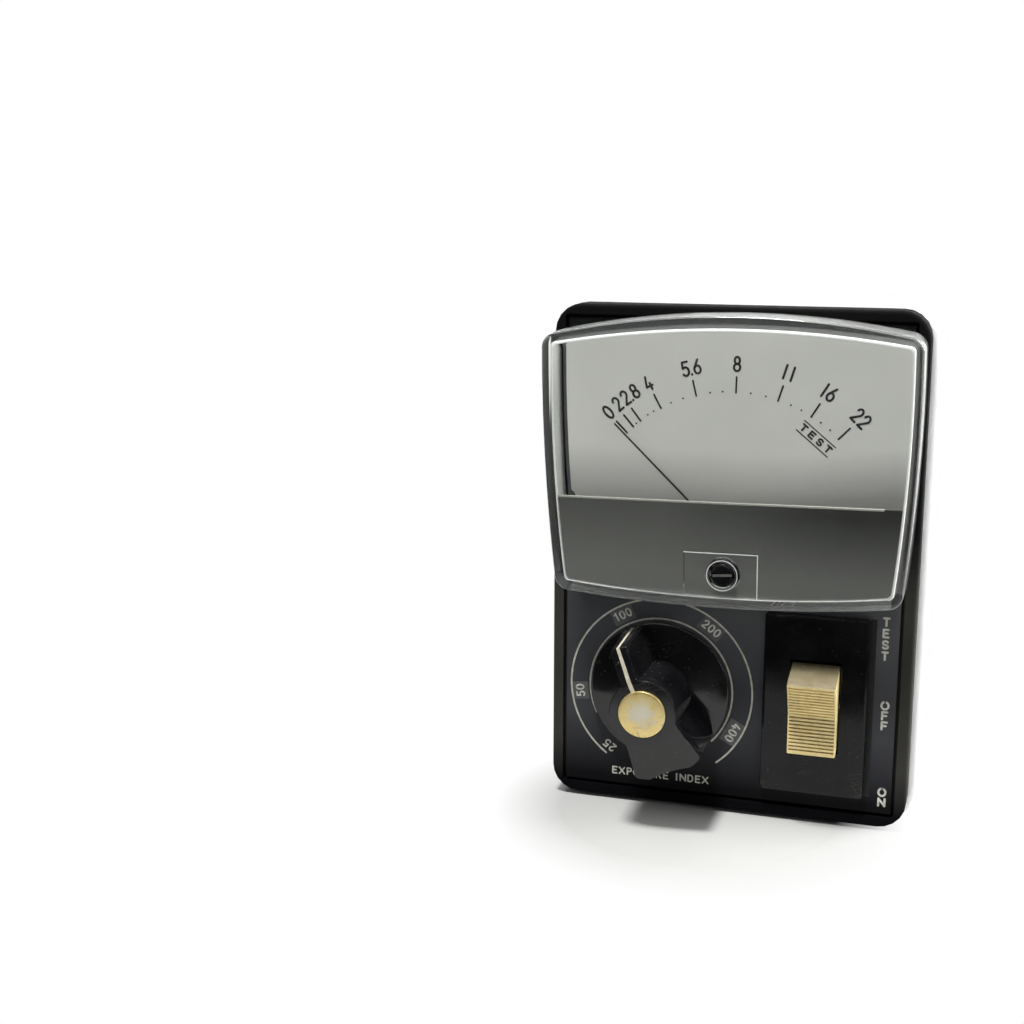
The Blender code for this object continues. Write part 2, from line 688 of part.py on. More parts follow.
def bridge(face, foot, span):
    """Staple-shaped strap: it runs across at face, is as thick as face to span, and its legs end at foot."""
    half = BRIDGE_HALF_LENGTH
    inner = half - BRIDGE_LEG
    outline = [(-half, face), (half, face), (half, foot), (inner, foot), (inner, span), (-inner, span),
               (-inner, foot), (-half, foot)]
    bm = prism(outline, -BRIDGE_HALF_HEIGHT, BRIDGE_HALF_HEIGHT)
    bmesh.ops.rotate(bm, cent=(0, 0, 0), matrix=Matrix.Rotation(math.radians(-90), 3, "X"), verts=bm.verts)
    return bm


def make_movement():
    pivot = (PIVOT_X, 0, PIVOT_Z)
    yoke_ring, yoke_hole = ring(YOKE_OUTER, YOKE_INNER, YOKE_FRONT, YOKE_BACK, 36)
    yoke = add_part("yoke_ring", yoke_ring, "steel", pivot)
    cut(yoke, yoke_hole)
    core_front = COIL_FRONT + COIL_WALL + GAP
    core_back = COIL_BACK - COIL_WALL - GAP
    core = add_part("magnet_core", prism(circle(CORE_RADIUS, 28), core_front, core_back), "magnet", pivot)
    join(core, box(-1.5, 1.5, core_front, core_back, -YOKE_INNER + 0.5, YOKE_INNER - 0.5))
    front = add_part("front_bridge", bridge(BRIDGE_FRONT, YOKE_FRONT - GAP, BRIDGE_BACK), "brass", pivot)
    cut(front, prism(circle(JEWEL_RADIUS + GAP, 16), -9, -3))
    rear_strap = bridge(REAR_BRIDGE_BACK, YOKE_BACK + GAP, REAR_BRIDGE_FRONT)
    rear = add_part("rear_bridge", rear_strap, "brass", pivot)
    cut(rear, prism(circle(JEWEL_RADIUS + GAP, 16), 9.5, 12))
    cup = [(0, -5.5), (JEWEL_RADIUS, -5.5), (JEWEL_RADIUS, -3.45), (0, -3.45)]
    add_part("front_jewel_screw", turned(cup, 16), "brass", pivot)
    rear_cup = [(0, 10.0), (JEWEL_RADIUS, 10.0), (JEWEL_RADIUS, 10.9), (0, 10.9)]
    add_part("rear_jewel_screw", turned(rear_cup, 16), "brass", pivot)


def make_terminal_studs():
    for side, name in ((-1, "left"), (1, "right")):
        place = (side * STUD_X, 0, STUD_Z)
        stud = [(0, 13.0), (STUD_RADIUS, 13.0), (STUD_RADIUS, 21.0), (1.2, 21.4), (0, 21.4)]
        add_part(f"terminal_stud_{name}", turned(stud, 16), "brass", place)
        nut = add_part(f"stud_nut_{name}", prism(circle(3.2, 6), BOARD_BACK + GAP, 19.7), "brass", place)
        cut(nut, prism(circle(STUD_RADIUS + GAP, 12), BOARD_BACK, 21))


# Exposure index control

def mixed_size(sizes, level):
    return sizes[0] + (sizes[1] - sizes[0]) * level


def turned_point(radius, angle):
    """Point at an angle in degrees, clockwise from up."""
    turn = math.radians(angle)
    return radius * math.sin(turn), radius * math.cos(turn)


def knob_outline(level):
    """Outline of the pointer grip, nose up, from the skirt at level 0 to the top at level 1."""
    nose_end, nose_half, hub, waist, tail = [mixed_size(sizes, level) for sizes in (
        KNOB_NOSE_END, KNOB_NOSE_HALF, KNOB_HUB_RADIUS, KNOB_WAIST_HALF, KNOB_TAIL_HALF)]
    right = [(nose_half - 0.5, nose_end), (nose_half, nose_end - 0.5)]
    start = math.degrees(math.asin(nose_half / hub))
    right += [turned_point(hub, start + (KNOB_HUB_END - start) * step / 8) for step in range(9)]
    neck = Vector((waist, KNOB_WAIST))
    corner = Vector((tail, -math.sqrt(KNOB_REACH ** 2 - tail ** 2)))
    down_tail = (corner - neck).normalized()
    right += quarter(Vector(right[-1]), neck, neck + down_tail * 1.6, 3)[1:]
    corner_angle = math.degrees(math.acos(corner.y / KNOB_REACH))
    lobe_angle = 180 - math.degrees(math.asin(KNOB_LOBE_HALF / KNOB_REACH))
    first = corner_angle + 2
    right += quarter(corner - down_tail * 0.5, corner, Vector(turned_point(KNOB_REACH, first)), 2)
    right += [turned_point(KNOB_REACH, first + (lobe_angle - first) * step / 2) for step in (1, 2)]
    lobe = Vector(right[-1])
    for share in (0.35, 0.7):
        right.append((lobe.x * (1 - share), lobe.y + (KNOB_NOTCH - lobe.y) * math.sin(share * math.pi / 2)))
    left = [(-x, z) for x, z in reversed(right)]
    return right + [(0, KNOB_NOTCH)] + left


def drawn_in(outline, inset):
    """An outline that runs clockwise, offset inwards."""
    points = []
    for index, (x, z) in enumerate(outline):
        along = (Vector(outline[(index + 1) % len(outline)]) - Vector(outline[index - 1])).normalized()
        points.append((x + along.y * inset, z - along.x * inset))
    return points


def knob_dome(x, z):
    """Depth of the grip's top: level round the cap, falling towards nose and tail."""
    run = max(math.hypot(x, z) - KNOB_DOME_START, 0.0) / (KNOB_REACH - KNOB_DOME_START)
    return KNOB_TOP + KNOB_FALL * run


def make_knob_grip():
    foot, top = knob_outline(0.0), knob_outline(1.0)
    rows = [[(x, SKIRT_FRONT + 0.4, z) for x, z in foot]]
    for inset, drop in ((0.0, 1.0), (0.3, 0.3), (1.0, 0.0)):
        edge = drawn_in(top, inset * KNOB_EDGE_ROUND)
        rows.append([(x, knob_dome(x, z) + drop * KNOB_EDGE_ROUND, z) for x, z in edge])
    seat = [Vector(point).normalized() * (CAP_RADIUS + 0.5) for point in top]
    rows.append([(spot.x, KNOB_TOP, spot.y) for spot in seat])
    return skin(rows)


def make_knob():
    place = (KNOB_X, 0, KNOB_Z)
    skirt = [(0, SKIRT_BACK), (SKIRT_RADIUS, SKIRT_BACK), (SKIRT_RADIUS, SKIRT_FRONT + 0.5),
             (SKIRT_RADIUS - 0.5, SKIRT_FRONT), (0, SKIRT_FRONT)]
    knob = add_part("exposure_knob", turned(skirt, 48), "gloss_black", place, KNOB_REST)
    join(knob, make_knob_grip())
    cut(knob, prism(circle(NUT_RADIUS + 0.6, 28), SKIRT_BACK + 1, -3.2))
    cut(knob, prism(circle(SHAFT_RADIUS + GAP, 24), -2.0, -12.0))
    cut(knob, prism(circle(CAP_RADIUS + 0.15, 32), KNOB_TOP - 1, KNOB_TOP + 0.6))
    cap = [(0, CAP_FRONT), (CAP_RADIUS - 1.2, CAP_FRONT + 0.08), (CAP_RADIUS - 0.3, CAP_FRONT + 0.3),
           (CAP_RADIUS, CAP_FRONT + 0.6), (CAP_RADIUS, KNOB_TOP + 0.3), (0, KNOB_TOP + 0.3)]
    add_part("knob_cap", turned(cap, 32), "gold_cap", place, KNOB_REST)


def make_potentiometer():
    place = (KNOB_X, 0, KNOB_Z)
    can = [(0, -2.6), (BUSH_RADIUS, -2.6), (BUSH_RADIUS, POT_FRONT), (POT_RADIUS, POT_FRONT),
           (POT_RADIUS, POT_BACK - 0.6), (POT_RADIUS - 0.6, POT_BACK), (0, POT_BACK)]
    body = add_part("pot_body", turned(can, 32), "steel", place)
    cut(body, prism(circle(SHAFT_RADIUS + GAP, 24), -4, 8.0))
    shaft = [(0, -11.4), (SHAFT_RADIUS - 0.4, -11.4), (SHAFT_RADIUS, -11.0), (SHAFT_RADIUS, 7.6), (0, 7.6)]
    add_part("pot_shaft", turned(shaft, 24), "brass", place, KNOB_REST)
    disc, hole = ring(NUT_RADIUS, BUSH_RADIUS + GAP, -0.5, 0.0, 28)
    cut(add_part("pot_washer", disc, "steel", place), hole)
    nut = add_part("pot_nut", prism(circle(NUT_RADIUS, 6), -2.4, -0.8), "steel", place)
    cut(nut, prism(circle(BUSH_RADIUS + GAP, 24), -4, 1))
    for number, shift in enumerate((-4.0, 0.0, 4.0), 1):
        lug = box(shift - 0.9, shift + 0.9, 7.4, 7.9, POT_RADIUS + GAP, POT_RADIUS + 5.0)
        tag = add_part(f"pot_terminal_{number}", lug, "brass", place)
        cut(tag, prism(circle(0.5, 10, shift, POT_RADIUS + 3.8), 6, 9))


# Switch

def make_switch():
    place = (SWITCH_X, 0, SWITCH_Z)
    sides = rectangle(-BEZEL_HALF_WIDTH, BEZEL_HALF_WIDTH, -BEZEL_HALF_HEIGHT, BEZEL_HALF_HEIGHT)
    plate = round_edges(prism(rounded(sides, 0.8, 3), BEZEL_FRONT, 0), BEZEL_FRONT, BEZEL_EDGE_ROUND, 2)
    bezel = add_part("switch_bezel", plate, "gloss_black", place)
    opening = ROCKER_HALF_WIDTH + GAP
    cut(bezel, box(-opening, opening, -3, 1, -BEZEL_OPENING_HALF_HEIGHT, BEZEL_OPENING_HALF_HEIGHT))
    half_width = SWITCH_BODY_HALF_WIDTH
    half_height = SWITCH_BODY_HALF_HEIGHT
    block = box(-half_width, half_width, GAP, SWITCH_BODY_BACK, -half_height, half_height)
    body = add_part("switch_body", block, "black_moulding", place)
    cut(body, box(-opening, opening, -1, ROCKER_ROOM_BACK, -ROCKER_ROOM_HALF_HEIGHT, ROCKER_ROOM_HALF_HEIGHT))
    slot_half = half_width - GAP / 2
    pin_slot = lying_along_x(prism(circle(ROCKER_PIN_RADIUS + GAP, 12), -slot_half, slot_half))
    cut(body, moved(pin_slot, 0, ROCKER_PIVOT_Y, 0))
    for number, shift in enumerate((-4.5, 0.0, 4.5), 1):
        lug = box(-1.2, 1.2, SWITCH_BODY_BACK + GAP, 17.0, shift - 0.3, shift + 0.3)
        add_part(f"switch_terminal_{number}", lug, "brass", (SWITCH_X, 0, SWITCH_Z + 4.0))


def make_rocker():
    """Rocker with a V-shaped face. Its side outline is pushed across X and tilted about its pin."""
    place = (SWITCH_X, ROCKER_PIVOT_Y, SWITCH_Z)
    upper = [ROCKER_WAIST, ROCKER_CREST, *ROCKER_END, *ROCKER_NOSE]
    outline = upper + [(y, -z) for y, z in reversed(upper[1:])]
    across = prism([(-y, z) for y, z in outline], -ROCKER_HALF_WIDTH, ROCKER_HALF_WIDTH)
    rocker = add_part("switch_rocker", lying_along_x(across), "ivory", place)
    rocker.rotation_euler.x = math.radians(ROCKER_REST)
    cut(rocker, lying_along_x(prism(circle(ROCKER_PIN_RADIUS + GAP, 12), -9, 9)))
    half = SWITCH_BODY_HALF_WIDTH - 2 * GAP
    pin = lying_along_x(prism(circle(ROCKER_PIN_RADIUS, 12), -half, half))
    add_part("switch_pivot_pin", pin, "steel", place)


# Circuit board and battery

def make_circuit_board():
    outline = rounded(rectangle(-28.5, 28.5, 45.0, 84.0), 1.5, 2)
    board = add_part("circuit_board", prism(outline, BOARD_FRONT, BOARD_BACK), "phenolic_board")
    for side in (-1, 1):
        cut(board, prism(circle(STUD_RADIUS + GAP, 12, side * STUD_X, STUD_Z), 14, 19))
    seat = BOARD_BACK + GAP
    can = [(0, seat), (4.6, seat), (4.6, seat + 0.8), (4.0, seat + 0.8), (4.0, seat + 4.6), (3.0, seat + 5.2),
           (0, seat + 5.6)]
    add_part("light_sensor", turned(can, 28), "steel", (0, 0, 76.0))
    sleeve = [(0, -7.0), (3.2, -7.0), (3.8, -6.4), (3.8, 6.4), (3.2, 7.0), (0, 7.0)]
    add_part("capacitor", lying_along_x(turned(sleeve, 24)), "component", (12.0, seat + 3.8, 52.5))
    bead = [(0, -3.4), (0.9, -3.4), (1.2, -3.0), (1.2, 3.0), (0.9, 3.4), (0, 3.4)]
    for number, x in enumerate((-20.0, -14.0), 1):
        place = (x, seat + 1.2, 52.0 + 4 * number)
        add_part(f"resistor_{number}", lying_along_x(turned(bead, 12)), "component", place)
    trimmer = add_part("trimmer", box(-3.5, 3.5, seat, seat + 4.0, -3.5, 3.5), "component", (19.5, 0, 76.0))
    cut(trimmer, box(-2.2, 2.2, seat + 3.2, seat + 5.0, -0.4, 0.4))


def make_battery():
    half = CELL_LENGTH / 2
    cell = [(0, -half), (CELL_RADIUS - 0.6, -half), (CELL_RADIUS, -half + 0.6), (CELL_RADIUS, half - 0.6),
            (CELL_RADIUS - 0.6, half), (2.7, half), (2.7, half + 1.2), (0, half + 1.2)]
    place = (0, CELL_Y, CELL_Z)
    add_part("battery_cell", lying_along_x(turned(cell, 32)), "cell_wrap", place)
    block = box(-30.8, 30.8, 13.4, 24.6, CASE_WALL + 0.5, CELL_Z - 0.5)
    tray = add_part("battery_holder", block, "black_moulding")
    trough = lying_along_x(prism(circle(CELL_RADIUS + GAP, 32), -29.6, 29.6))
    cut(tray, moved(trough, 0, CELL_Y, CELL_Z))
    plate = box(27.0, 27.5, CELL_Y - 4.0, CELL_Y + 4.0, CELL_Z - 4.0, CELL_Z + 4.0)
    add_part("battery_contact", plate, "brass")
    turns = 3.0
    count = 30
    spiral = []
    for step in range(count + 1):
        share = step / count
        angle = 2 * math.pi * turns * share
        radius = 4.2 - 1.6 * share
        y = CELL_Y + radius * math.cos(angle)
        z = CELL_Z + radius * math.sin(angle)
        spiral.append((-29.2 + 3.8 * share, y, z))
    add_part("battery_spring", wire(spiral, 0.35), "steel")


clear_scene()
PARTS = new_collection("flash_meter")
TOOLS = new_collection("cutting_tools")
make_front_frame()
make_panel_plate()
make_rear_shell()
make_case_screws()
make_meter_cover()
make_meter_body()
make_dial()
make_dial_mask()
make_zero_adjuster()
make_pointer()
make_movement()
make_terminal_studs()
make_knob()
make_potentiometer()
make_switch()
make_rocker()
make_circuit_board()
make_battery()
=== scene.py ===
"""Looks of the handheld flash meter: finishes, printed marks, fine shapes, floor, lights and camera.

Lengths are millimetres in the part's own frame: X right, Z up, and Y back from the plane of the
front rim. MM turns them into scene metres, and the frame says where the rim plane is.
"""
import math
from collections import namedtuple

import bmesh
import bpy
from mathutils import Matrix, Vector


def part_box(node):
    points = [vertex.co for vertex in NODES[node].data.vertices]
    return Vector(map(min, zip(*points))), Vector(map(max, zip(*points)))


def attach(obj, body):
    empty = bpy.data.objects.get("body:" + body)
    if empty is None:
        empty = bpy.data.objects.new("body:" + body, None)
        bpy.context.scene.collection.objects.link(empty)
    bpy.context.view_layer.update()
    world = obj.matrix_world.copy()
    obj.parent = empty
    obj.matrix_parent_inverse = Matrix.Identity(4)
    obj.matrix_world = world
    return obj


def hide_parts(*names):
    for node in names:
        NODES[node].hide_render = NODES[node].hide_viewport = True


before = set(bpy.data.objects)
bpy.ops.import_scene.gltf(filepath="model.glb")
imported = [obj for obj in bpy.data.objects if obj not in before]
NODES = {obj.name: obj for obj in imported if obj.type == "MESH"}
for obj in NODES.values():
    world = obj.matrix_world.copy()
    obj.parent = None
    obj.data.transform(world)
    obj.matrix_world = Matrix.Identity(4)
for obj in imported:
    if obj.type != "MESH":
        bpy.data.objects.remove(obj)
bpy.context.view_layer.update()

MM = 0.001
RIM_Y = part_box("front_frame")[0].y
WHITE = (1.0, 1.0, 1.0, 1.0)

# How far a cutting solid reaches past what it cuts, and the distance at which points are one
OVER = 1.0
SAME_PLACE = 0.0005

# Print: half its thickness, the step between strokes that cross, and the bend that splits a stroke
PRINT = 0.03
LAYER = 0.004
SHARP_BEND = 50.0
Type = namedtuple("Type", "height stroke pitch width")

# Camera, fitted to the photograph
CAMERA_PLACE = (47.77, -283.41, 120.04)
CAMERA_YAW = 17.872
CAMERA_DOWN = 11.821
CAMERA_LENS = 53.92
CAMERA_NEAR = 10.0

# Floor: where it ends, its colours, and where it is seen as white
FLOOR_CORNERS = ((-600, -57), (-48, -57), (-41, -93), (-22, -93), (-4, -85), (3, -85), (6, -67),
                 (600, -67), (600, 700), (-600, 700))
FLOOR_COLOUR = (0.41, 0.41, 0.398)
FLOOR_LIGHT_COLOUR = (0.45, 0.45, 0.437)
WHITE_CENTRE = (-5.0, 0.0)
WHITE_START = 27.0
WHITE_FULL = 40.0

# Light: the soft level all round, and what shiny pieces see. A glow has a start, an end and a level
SOFT_COLOUR = (0.96, 0.98, 1.0, 1.0)
SOFT_LEVEL = 0.30
ROOM_LEVEL = 0.03
TOP_GLOW = (0.45, 0.8, 1.0)
BACK_GLOW = (0.1, 0.5, 0.95)

# Lamps: name, place in metres, side in metres and power in watts
LAMPS = (("overhead", (-0.10, -0.235, 0.90), 0.14, 11.0), ("side", (0.62, 0.16, 0.38), 0.5, 8.0))
LAMP_AIM = (0, 0, 0.05)

# Patterns in the finishes: where a soft one starts and ends, a speck's full core, a scratch's width,
# the patches that scratches lie in, and how far gloss varies
SOFT_START, SOFT_END = 0.3, 0.7
SPECK_CORE = 0.6
HAIR = 0.012
SCRATCH_PATCH = 9.0
SCRATCH_EDGE = 0.06
UNEVEN = 0.08

# Meter window, as in the solids but with more bow along its top
WINDOW_TOP_HALF = 34.75
WINDOW_TOP = 94.45
WINDOW_LOW_HALF = 32.4
WINDOW_LOW = 45.7
WINDOW_TOP_BOW = 3.75
WINDOW_SIDE_BOW = 0.78
WINDOW_LOW_BOW = 1.9
WINDOW_CORNER = 2.4
WINDOW_INNER_CORNER = 0.8
WINDOW_BASE = -0.3
WINDOW_FRONT = -9.0
WINDOW_PLATE = 1.4
WINDOW_TAPER = 0.1
WINDOW_ROUND = 0.5
CAVITY_SIDE = 1.6
CAVITY_TOP = 1.55
CAVITY_TOP_BOW = 2.85
CAVITY_LOW = 1.6
CAVITY_DRAFT = 0.25
CAVITY_ROUND = 0.5
METER_TURN = 0.9
METER_MIDDLE_Z = 70.5
POCKET_LEFT, POCKET_RIGHT = -7.4, 6.45
POCKET_LOW, POCKET_HIGH = 46.0, 54.5
POCKET_DEPTH = 0.9
POCKET_FILLET = 0.3
# POCKET_RIM is the width of the painted highlight strips on the pocket's edges
POCKET_RIM = 0.16
POCKET_MARGIN = 1.0

# Zero screw: the collar round it and the painted highlight ring on that, as radius or width and depth from
# the front
ADJUSTER = (0.1, 50.2)
COLLAR = ((0, 0.1), (3.0, 0.1), (3.3, 0.3), (3.4, 1.2), (0, 1.2))
COLLAR_BORE = 2.5
COLLAR_RING = ((0.30, 0.05), (0.42, 0.05), (0.42, 0.16), (0.30, 0.16))
COLLAR_SIDES = 48
SLOT_TURN = 5.0
SLOT_HALF = 1.85
SLOT_RISE = 0.24
SLOT_FRONT = -8.79
SLOT_THICK = 0.1

# How squarely a face of the window looks along an axis, from 0 to 1
SLIGHTLY, PARTLY, MOSTLY, NEARLY, WHOLLY = 0.1, 0.3, 0.7, 0.9, 0.995
OFF_CORNER = 0.35

# Mask over the dial's foot
MASK_FRONT = -6.7
MASK_BACK = -6.0
MASK_TOP = 63.65
MASK_GAP = 0.05
# The painted highlight band along the mask's top edge: its width and its ends
MASK_EDGE = 0.28
MASK_EDGE_ENDS = (-32.1, 28.6)
MASK_HOLE = 2.85

# Dial scale: each number with the angle of its tick, and its own angle and radius; then the dots' angles
DIAL_FRONT = -2.1
MARGIN_GAP = 0.1
MARGIN_THICK = 0.2
PIVOT = (0.1, 55.6)
TICK_REACH = (28.1, 31.0)
TICK_WIDTH = 0.34
DOT_RADIUS = 0.17
DIGIT_TYPE = Type(height=3.0, stroke=0.42, pitch=1.78, width=0.8)
SCALE = (("0", -45.6, -45.6, 33.35), ("2", -42.1, -41.4, 33.35), ("2.~8", -38.4, -36.1, 33.35),
         ("4", -28.9, -28.9, 33.35), ("5.~6", -14.2, -13.85, 33.4), ("8", 1.0, 1.0, 33.4),
         ("||", 17.1, 17.5, 33.6), ("!6", 30.8, 31.3, 33.6), ("22", 43.8, 43.9, 33.65))
DOTS = (-40.4, -34.7, -32.0, -24.4, -19.4, -8.8, -4.0, 6.6, 12.3, 22.1, 26.4, 34.9, 39.3)
TEST_MIDDLE = (15.5, 75.8)
TEST_TURN = 39.8
TEST_LENGTH = 7.5
TEST_GAP = 2.3
TEST_TYPE = Type(height=1.45, stroke=0.34, pitch=1.95, width=1.35)
RULE_WIDTH = 0.2

# Needle: a slim blade on a hub, with a tail. Its half width is given at its root and its tip
NEEDLE_REST = -46.4
NEEDLE_FRONT = -2.9
NEEDLE_BACK = -2.6
NEEDLE_REACH = 31.0
NEEDLE_HALF = (0.2, 0.12)
NEEDLE_HUB = 2.2
NEEDLE_BORE = 0.75
NEEDLE_TAIL = -7.2
NEEDLE_TAIL_HALF = 0.5

# Exposure index print: the rings round the knob, and each number with its angle
PANEL_FRONT = 0.3
KNOB = (-13.0, 24.1)
RING_OUTER = 18.12
RING_INNER = 14.25
RING_LINE = 0.35
OUTER_ARC = (-143.3, 140.8)
INNER_ARC = (-115.5, 133.0)
INDEX_NUMBERS = (("25", -142.1), ("50", -97.0), ("100", -28.3), ("200", 36.8), ("400", 117.5))
INDEX_RADIUS = 16.4
INDEX_TYPE = Type(height=1.85, stroke=0.31, pitch=1.4, width=1.0)
INDEX_PATCHED = ("50", "100", "200", "400")
PATCH_HALF_HEIGHT = 1.7
PATCH_MARGIN = 0.4
LEGEND = "EXPOSURE INDEX"
LEGEND_MIDDLE = (-12.8, 6.1)
LEGEND_TYPE = Type(height=1.6, stroke=0.28, pitch=1.49, width=1.0)

# Switch print: each word with its middle in X, its top and its foot, and the painted shadow strip beside
# the bezel
SWITCH_WORDS = (("TEST", 29.65, 42.3, 33.85), ("OFF", 30.15, 26.0, 20.15), ("ON", 30.4, 8.7, 4.85))
SWITCH_TYPE = Type(height=1.85, stroke=0.4, pitch=1.85, width=1.0)
BEZEL_SHADOW_BOX = (26.9, 28.0, 6.6, 41.7)

# Knob: a pair of sizes is at the skirt and at the top of the grip
KNOB_REST = -23.8
SKIRT_RADIUS = 13.8
SKIRT_BACK = -0.1
SKIRT_FRONT = -2.1
SKIRT_ROUND = 0.5
SKIRT_CHAMFER = 0.2
SKIRT_FALL = 0.75
KNOB_TOP = -15.6
GRIP_REACH = 13.6
GRIP_FALL = 1.76
GRIP_SINK = 0.3
GRIP_LEVELS = 4
GRIP_ROUND = 0.05
DOME_START = 6.4
DOME_ROWS = 10
NOSE_END = (13.5, 13.0)
NOSE_HALF = (2.25, 1.6)
HUB_RADIUS = (6.6, 6.4)
HUB_END = 122.0
WAIST = -4.8
WAIST_HALF = (5.1, 5.3)
WAIST_ROUND = 1.6
TAIL_HALF = (7.05, 6.75)
TAIL_TURN = 2.0
LOBE_HALF = 4.2
NOTCH = -12.5
NOTCH_STEPS = 8
CORNER_ROUND = 0.5
CAP_RADIUS = 4.5
CAP_FRONT = -16.1
CAP_CROWN = ((0, 0), (2.5, 0.01), (3.9, 0.03))
CAP_EDGE = 0.04
CAP_ROUND = 0.1
CAP_SEAT = 4.7
CAP_SINK = 0.3
SEAT_DEPTH = 0.35
LINE_HALF = (0.42, 0.27)
LINE_START = 4.4
LINE_STEPS = 8
LINE_DEPTH = 0.12

# Bores in the knob's back: radius, sides, and where each starts and ends
KNOB_BORES = ((5.9, 40, 1.0, -3.2), (3.3, 32, -2.0, -12.0))

# Rocker switch: the side outline is given as depth and height from its pivot
SWITCH = (17.1, 24.0)
ROCKER_PIVOT_Y = 1.0
ROCKER_REST = 14.0
ROCKER_HALF_WIDTH = 4.5
ROCKER_CREST = (-6.6, 7.6)
ROCKER_WAIST = (-5.0, 0.0)
ROCKER_END = ((-6.35, 7.78), (-3.2, 7.95), (-0.2, 8.15), (0.9, 8.2), (2.2, 7.4), (3.4, 3.0), (5.4, 1.0))
ROCKER_EDGE = 0.15
GROOVES = 10
GROOVE_DEPTH = 0.26
GROOVE_SHARE = 0.45
GROOVE_MARGIN = 0.5
GROOVE_SIDE_MARGIN = 0.25
GROOVE_WALL = 0.02
GROOVE_SECTION = ((0, 0), (0.2, 1), (0.8, 1), (1, 0))


# Pieces

def scene_point(x, y, z):
    return Vector((x * MM, y * MM + RIM_Y, z * MM))


def add_object(name, data):
    item = bpy.data.objects.new(name, data)
    bpy.context.scene.collection.objects.link(item)
    return item


def add_piece(name, bm, slot, *looks, body="case", replaces=(), smooth=35, pose=None):
    """Turn a bmesh in part millimetres into a piece that rides on a body.

    Its slot's own look is the usual one. A pose is a place, an axis and degrees, for a bmesh
    that is drawn unturned about zero.
    """
    if pose:
        place, axis, degrees = pose
        bm.transform(Matrix.Translation(place) @ Matrix.Rotation(math.radians(degrees), 4, axis))
    bmesh.ops.remove_doubles(bm, verts=bm.verts, dist=SAME_PLACE)
    bmesh.ops.recalc_face_normals(bm, faces=bm.faces)
    bm.transform(Matrix.Translation((0, RIM_Y, 0)) @ Matrix.Scale(MM, 4))
    mesh = bpy.data.meshes.new(name)
    bm.to_mesh(mesh)
    bm.free()
    mesh.shade_smooth()
    mesh.set_sharp_from_angle(angle=math.radians(smooth))
    for look in looks or [LOOKS[slot]]:
        mesh.materials.append(look)
    piece = add_object(name, mesh)
    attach(piece, body)
    if replaces:
        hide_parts(*replaces)
    return piece


def merge(target, source):
    """Add the faces of one bmesh to another."""
    mesh = bpy.data.meshes.new("merge")
    source.to_mesh(mesh)
    source.free()
    target.from_mesh(mesh)
    bpy.data.meshes.remove(mesh)


def boolean(bm, tool, operation):
    """Combine two closed bmeshes and give the result as a new one."""
    items = []
    for index, solid in enumerate((bm, tool)):
        bmesh.ops.recalc_face_normals(solid, faces=solid.faces)
        mesh = bpy.data.meshes.new(f"boolean_{index}")
        solid.to_mesh(mesh)
        solid.free()
        items.append(add_object(mesh.name, mesh))
    modifier = items[0].modifiers.new("boolean", "BOOLEAN")
    modifier.object = items[1]
    modifier.operation = operation
    modifier.solver = "EXACT"
    graph = bpy.context.evaluated_depsgraph_get()
    baked = bpy.data.meshes.new_from_object(items[0].evaluated_get(graph))
    result = bmesh.new()
    result.from_mesh(baked)
    for mesh in (baked, items[0].data, items[1].data):
        bpy.data.meshes.remove(mesh)
    return result


# Outlines in X and Z

def circle(radius, sides, x=0.0, z=0.0):
    turn = 2 * math.pi / sides
    return [(x + radius * math.cos(i * turn), z + radius * math.sin(i * turn)) for i in range(sides)]


def around(centre, radius, angle):
    """Point of a circle, or of an ellipse with a pair of radii, at degrees clockwise from up."""
    wide, tall = radius if isinstance(radius, tuple) else (radius, radius)
    a = math.radians(angle)
    return centre[0] + wide * math.sin(a), centre[1] + tall * math.cos(a)


def arc_points(centre, radius, start, end, steps):
    return [around(centre, radius, start + (end - start) * step / steps) for step in range(steps + 1)]


def shifted(middle, angle, along, up):
    """Point moved along and up a line of text that is turned clockwise."""
    sine, cosine = math.sin(math.radians(angle)), math.cos(math.radians(angle))
    return middle[0] + along * cosine + up * sine, middle[1] - along * sine + up * cosine


def rectangle(left, right, low, high):
    return [(left, low), (right, low), (right, high), (left, high)]


def quarter(start, corner, end, steps):
    """Points of an arc-like turn from start to end, drawn towards the corner."""
    weight = math.sqrt(0.5)
    points = []
    for step in range(steps + 1):
        t = step / steps
        a, b, c = (1 - t) ** 2, 2 * t * (1 - t) * weight, t * t
        points.append(tuple((start * a + corner * b + end * c) / (a + b + c)))
    return points


def rounded(points, radius, steps):
    outline = []
    for index, point in enumerate(points):
        corner = Vector(point)
        start = corner + (Vector(points[index - 1]) - corner).normalized() * radius
        end = corner + (Vector(points[(index + 1) % len(points)]) - corner).normalized() * radius
        outline += quarter(start, corner, end, steps)
    return outline


def bowed_side(start, end, bow, trim, steps=20):
    """Points of a side that bows outwards, to the right of its direction, trimmed at both ends."""
    a, b = Vector(start), Vector(end)
    along = (b - a).normalized()
    out = Vector((along.y, -along.x))
    share = trim / (b - a).length
    points = []
    for step in range(steps + 1):
        t = share + (1 - 2 * share) * step / steps
        points.append(tuple(a.lerp(b, t) + out * (4 * bow * t * (1 - t))))
    return points


def meter_turned(points):
    """Points of the meter, which sits turned a little anticlockwise about its middle."""
    turn = Matrix.Rotation(math.radians(METER_TURN), 2)
    middle = Vector((0, METER_MIDDLE_Z))
    return [tuple(turn @ (Vector(point) - middle) + middle) for point in points]


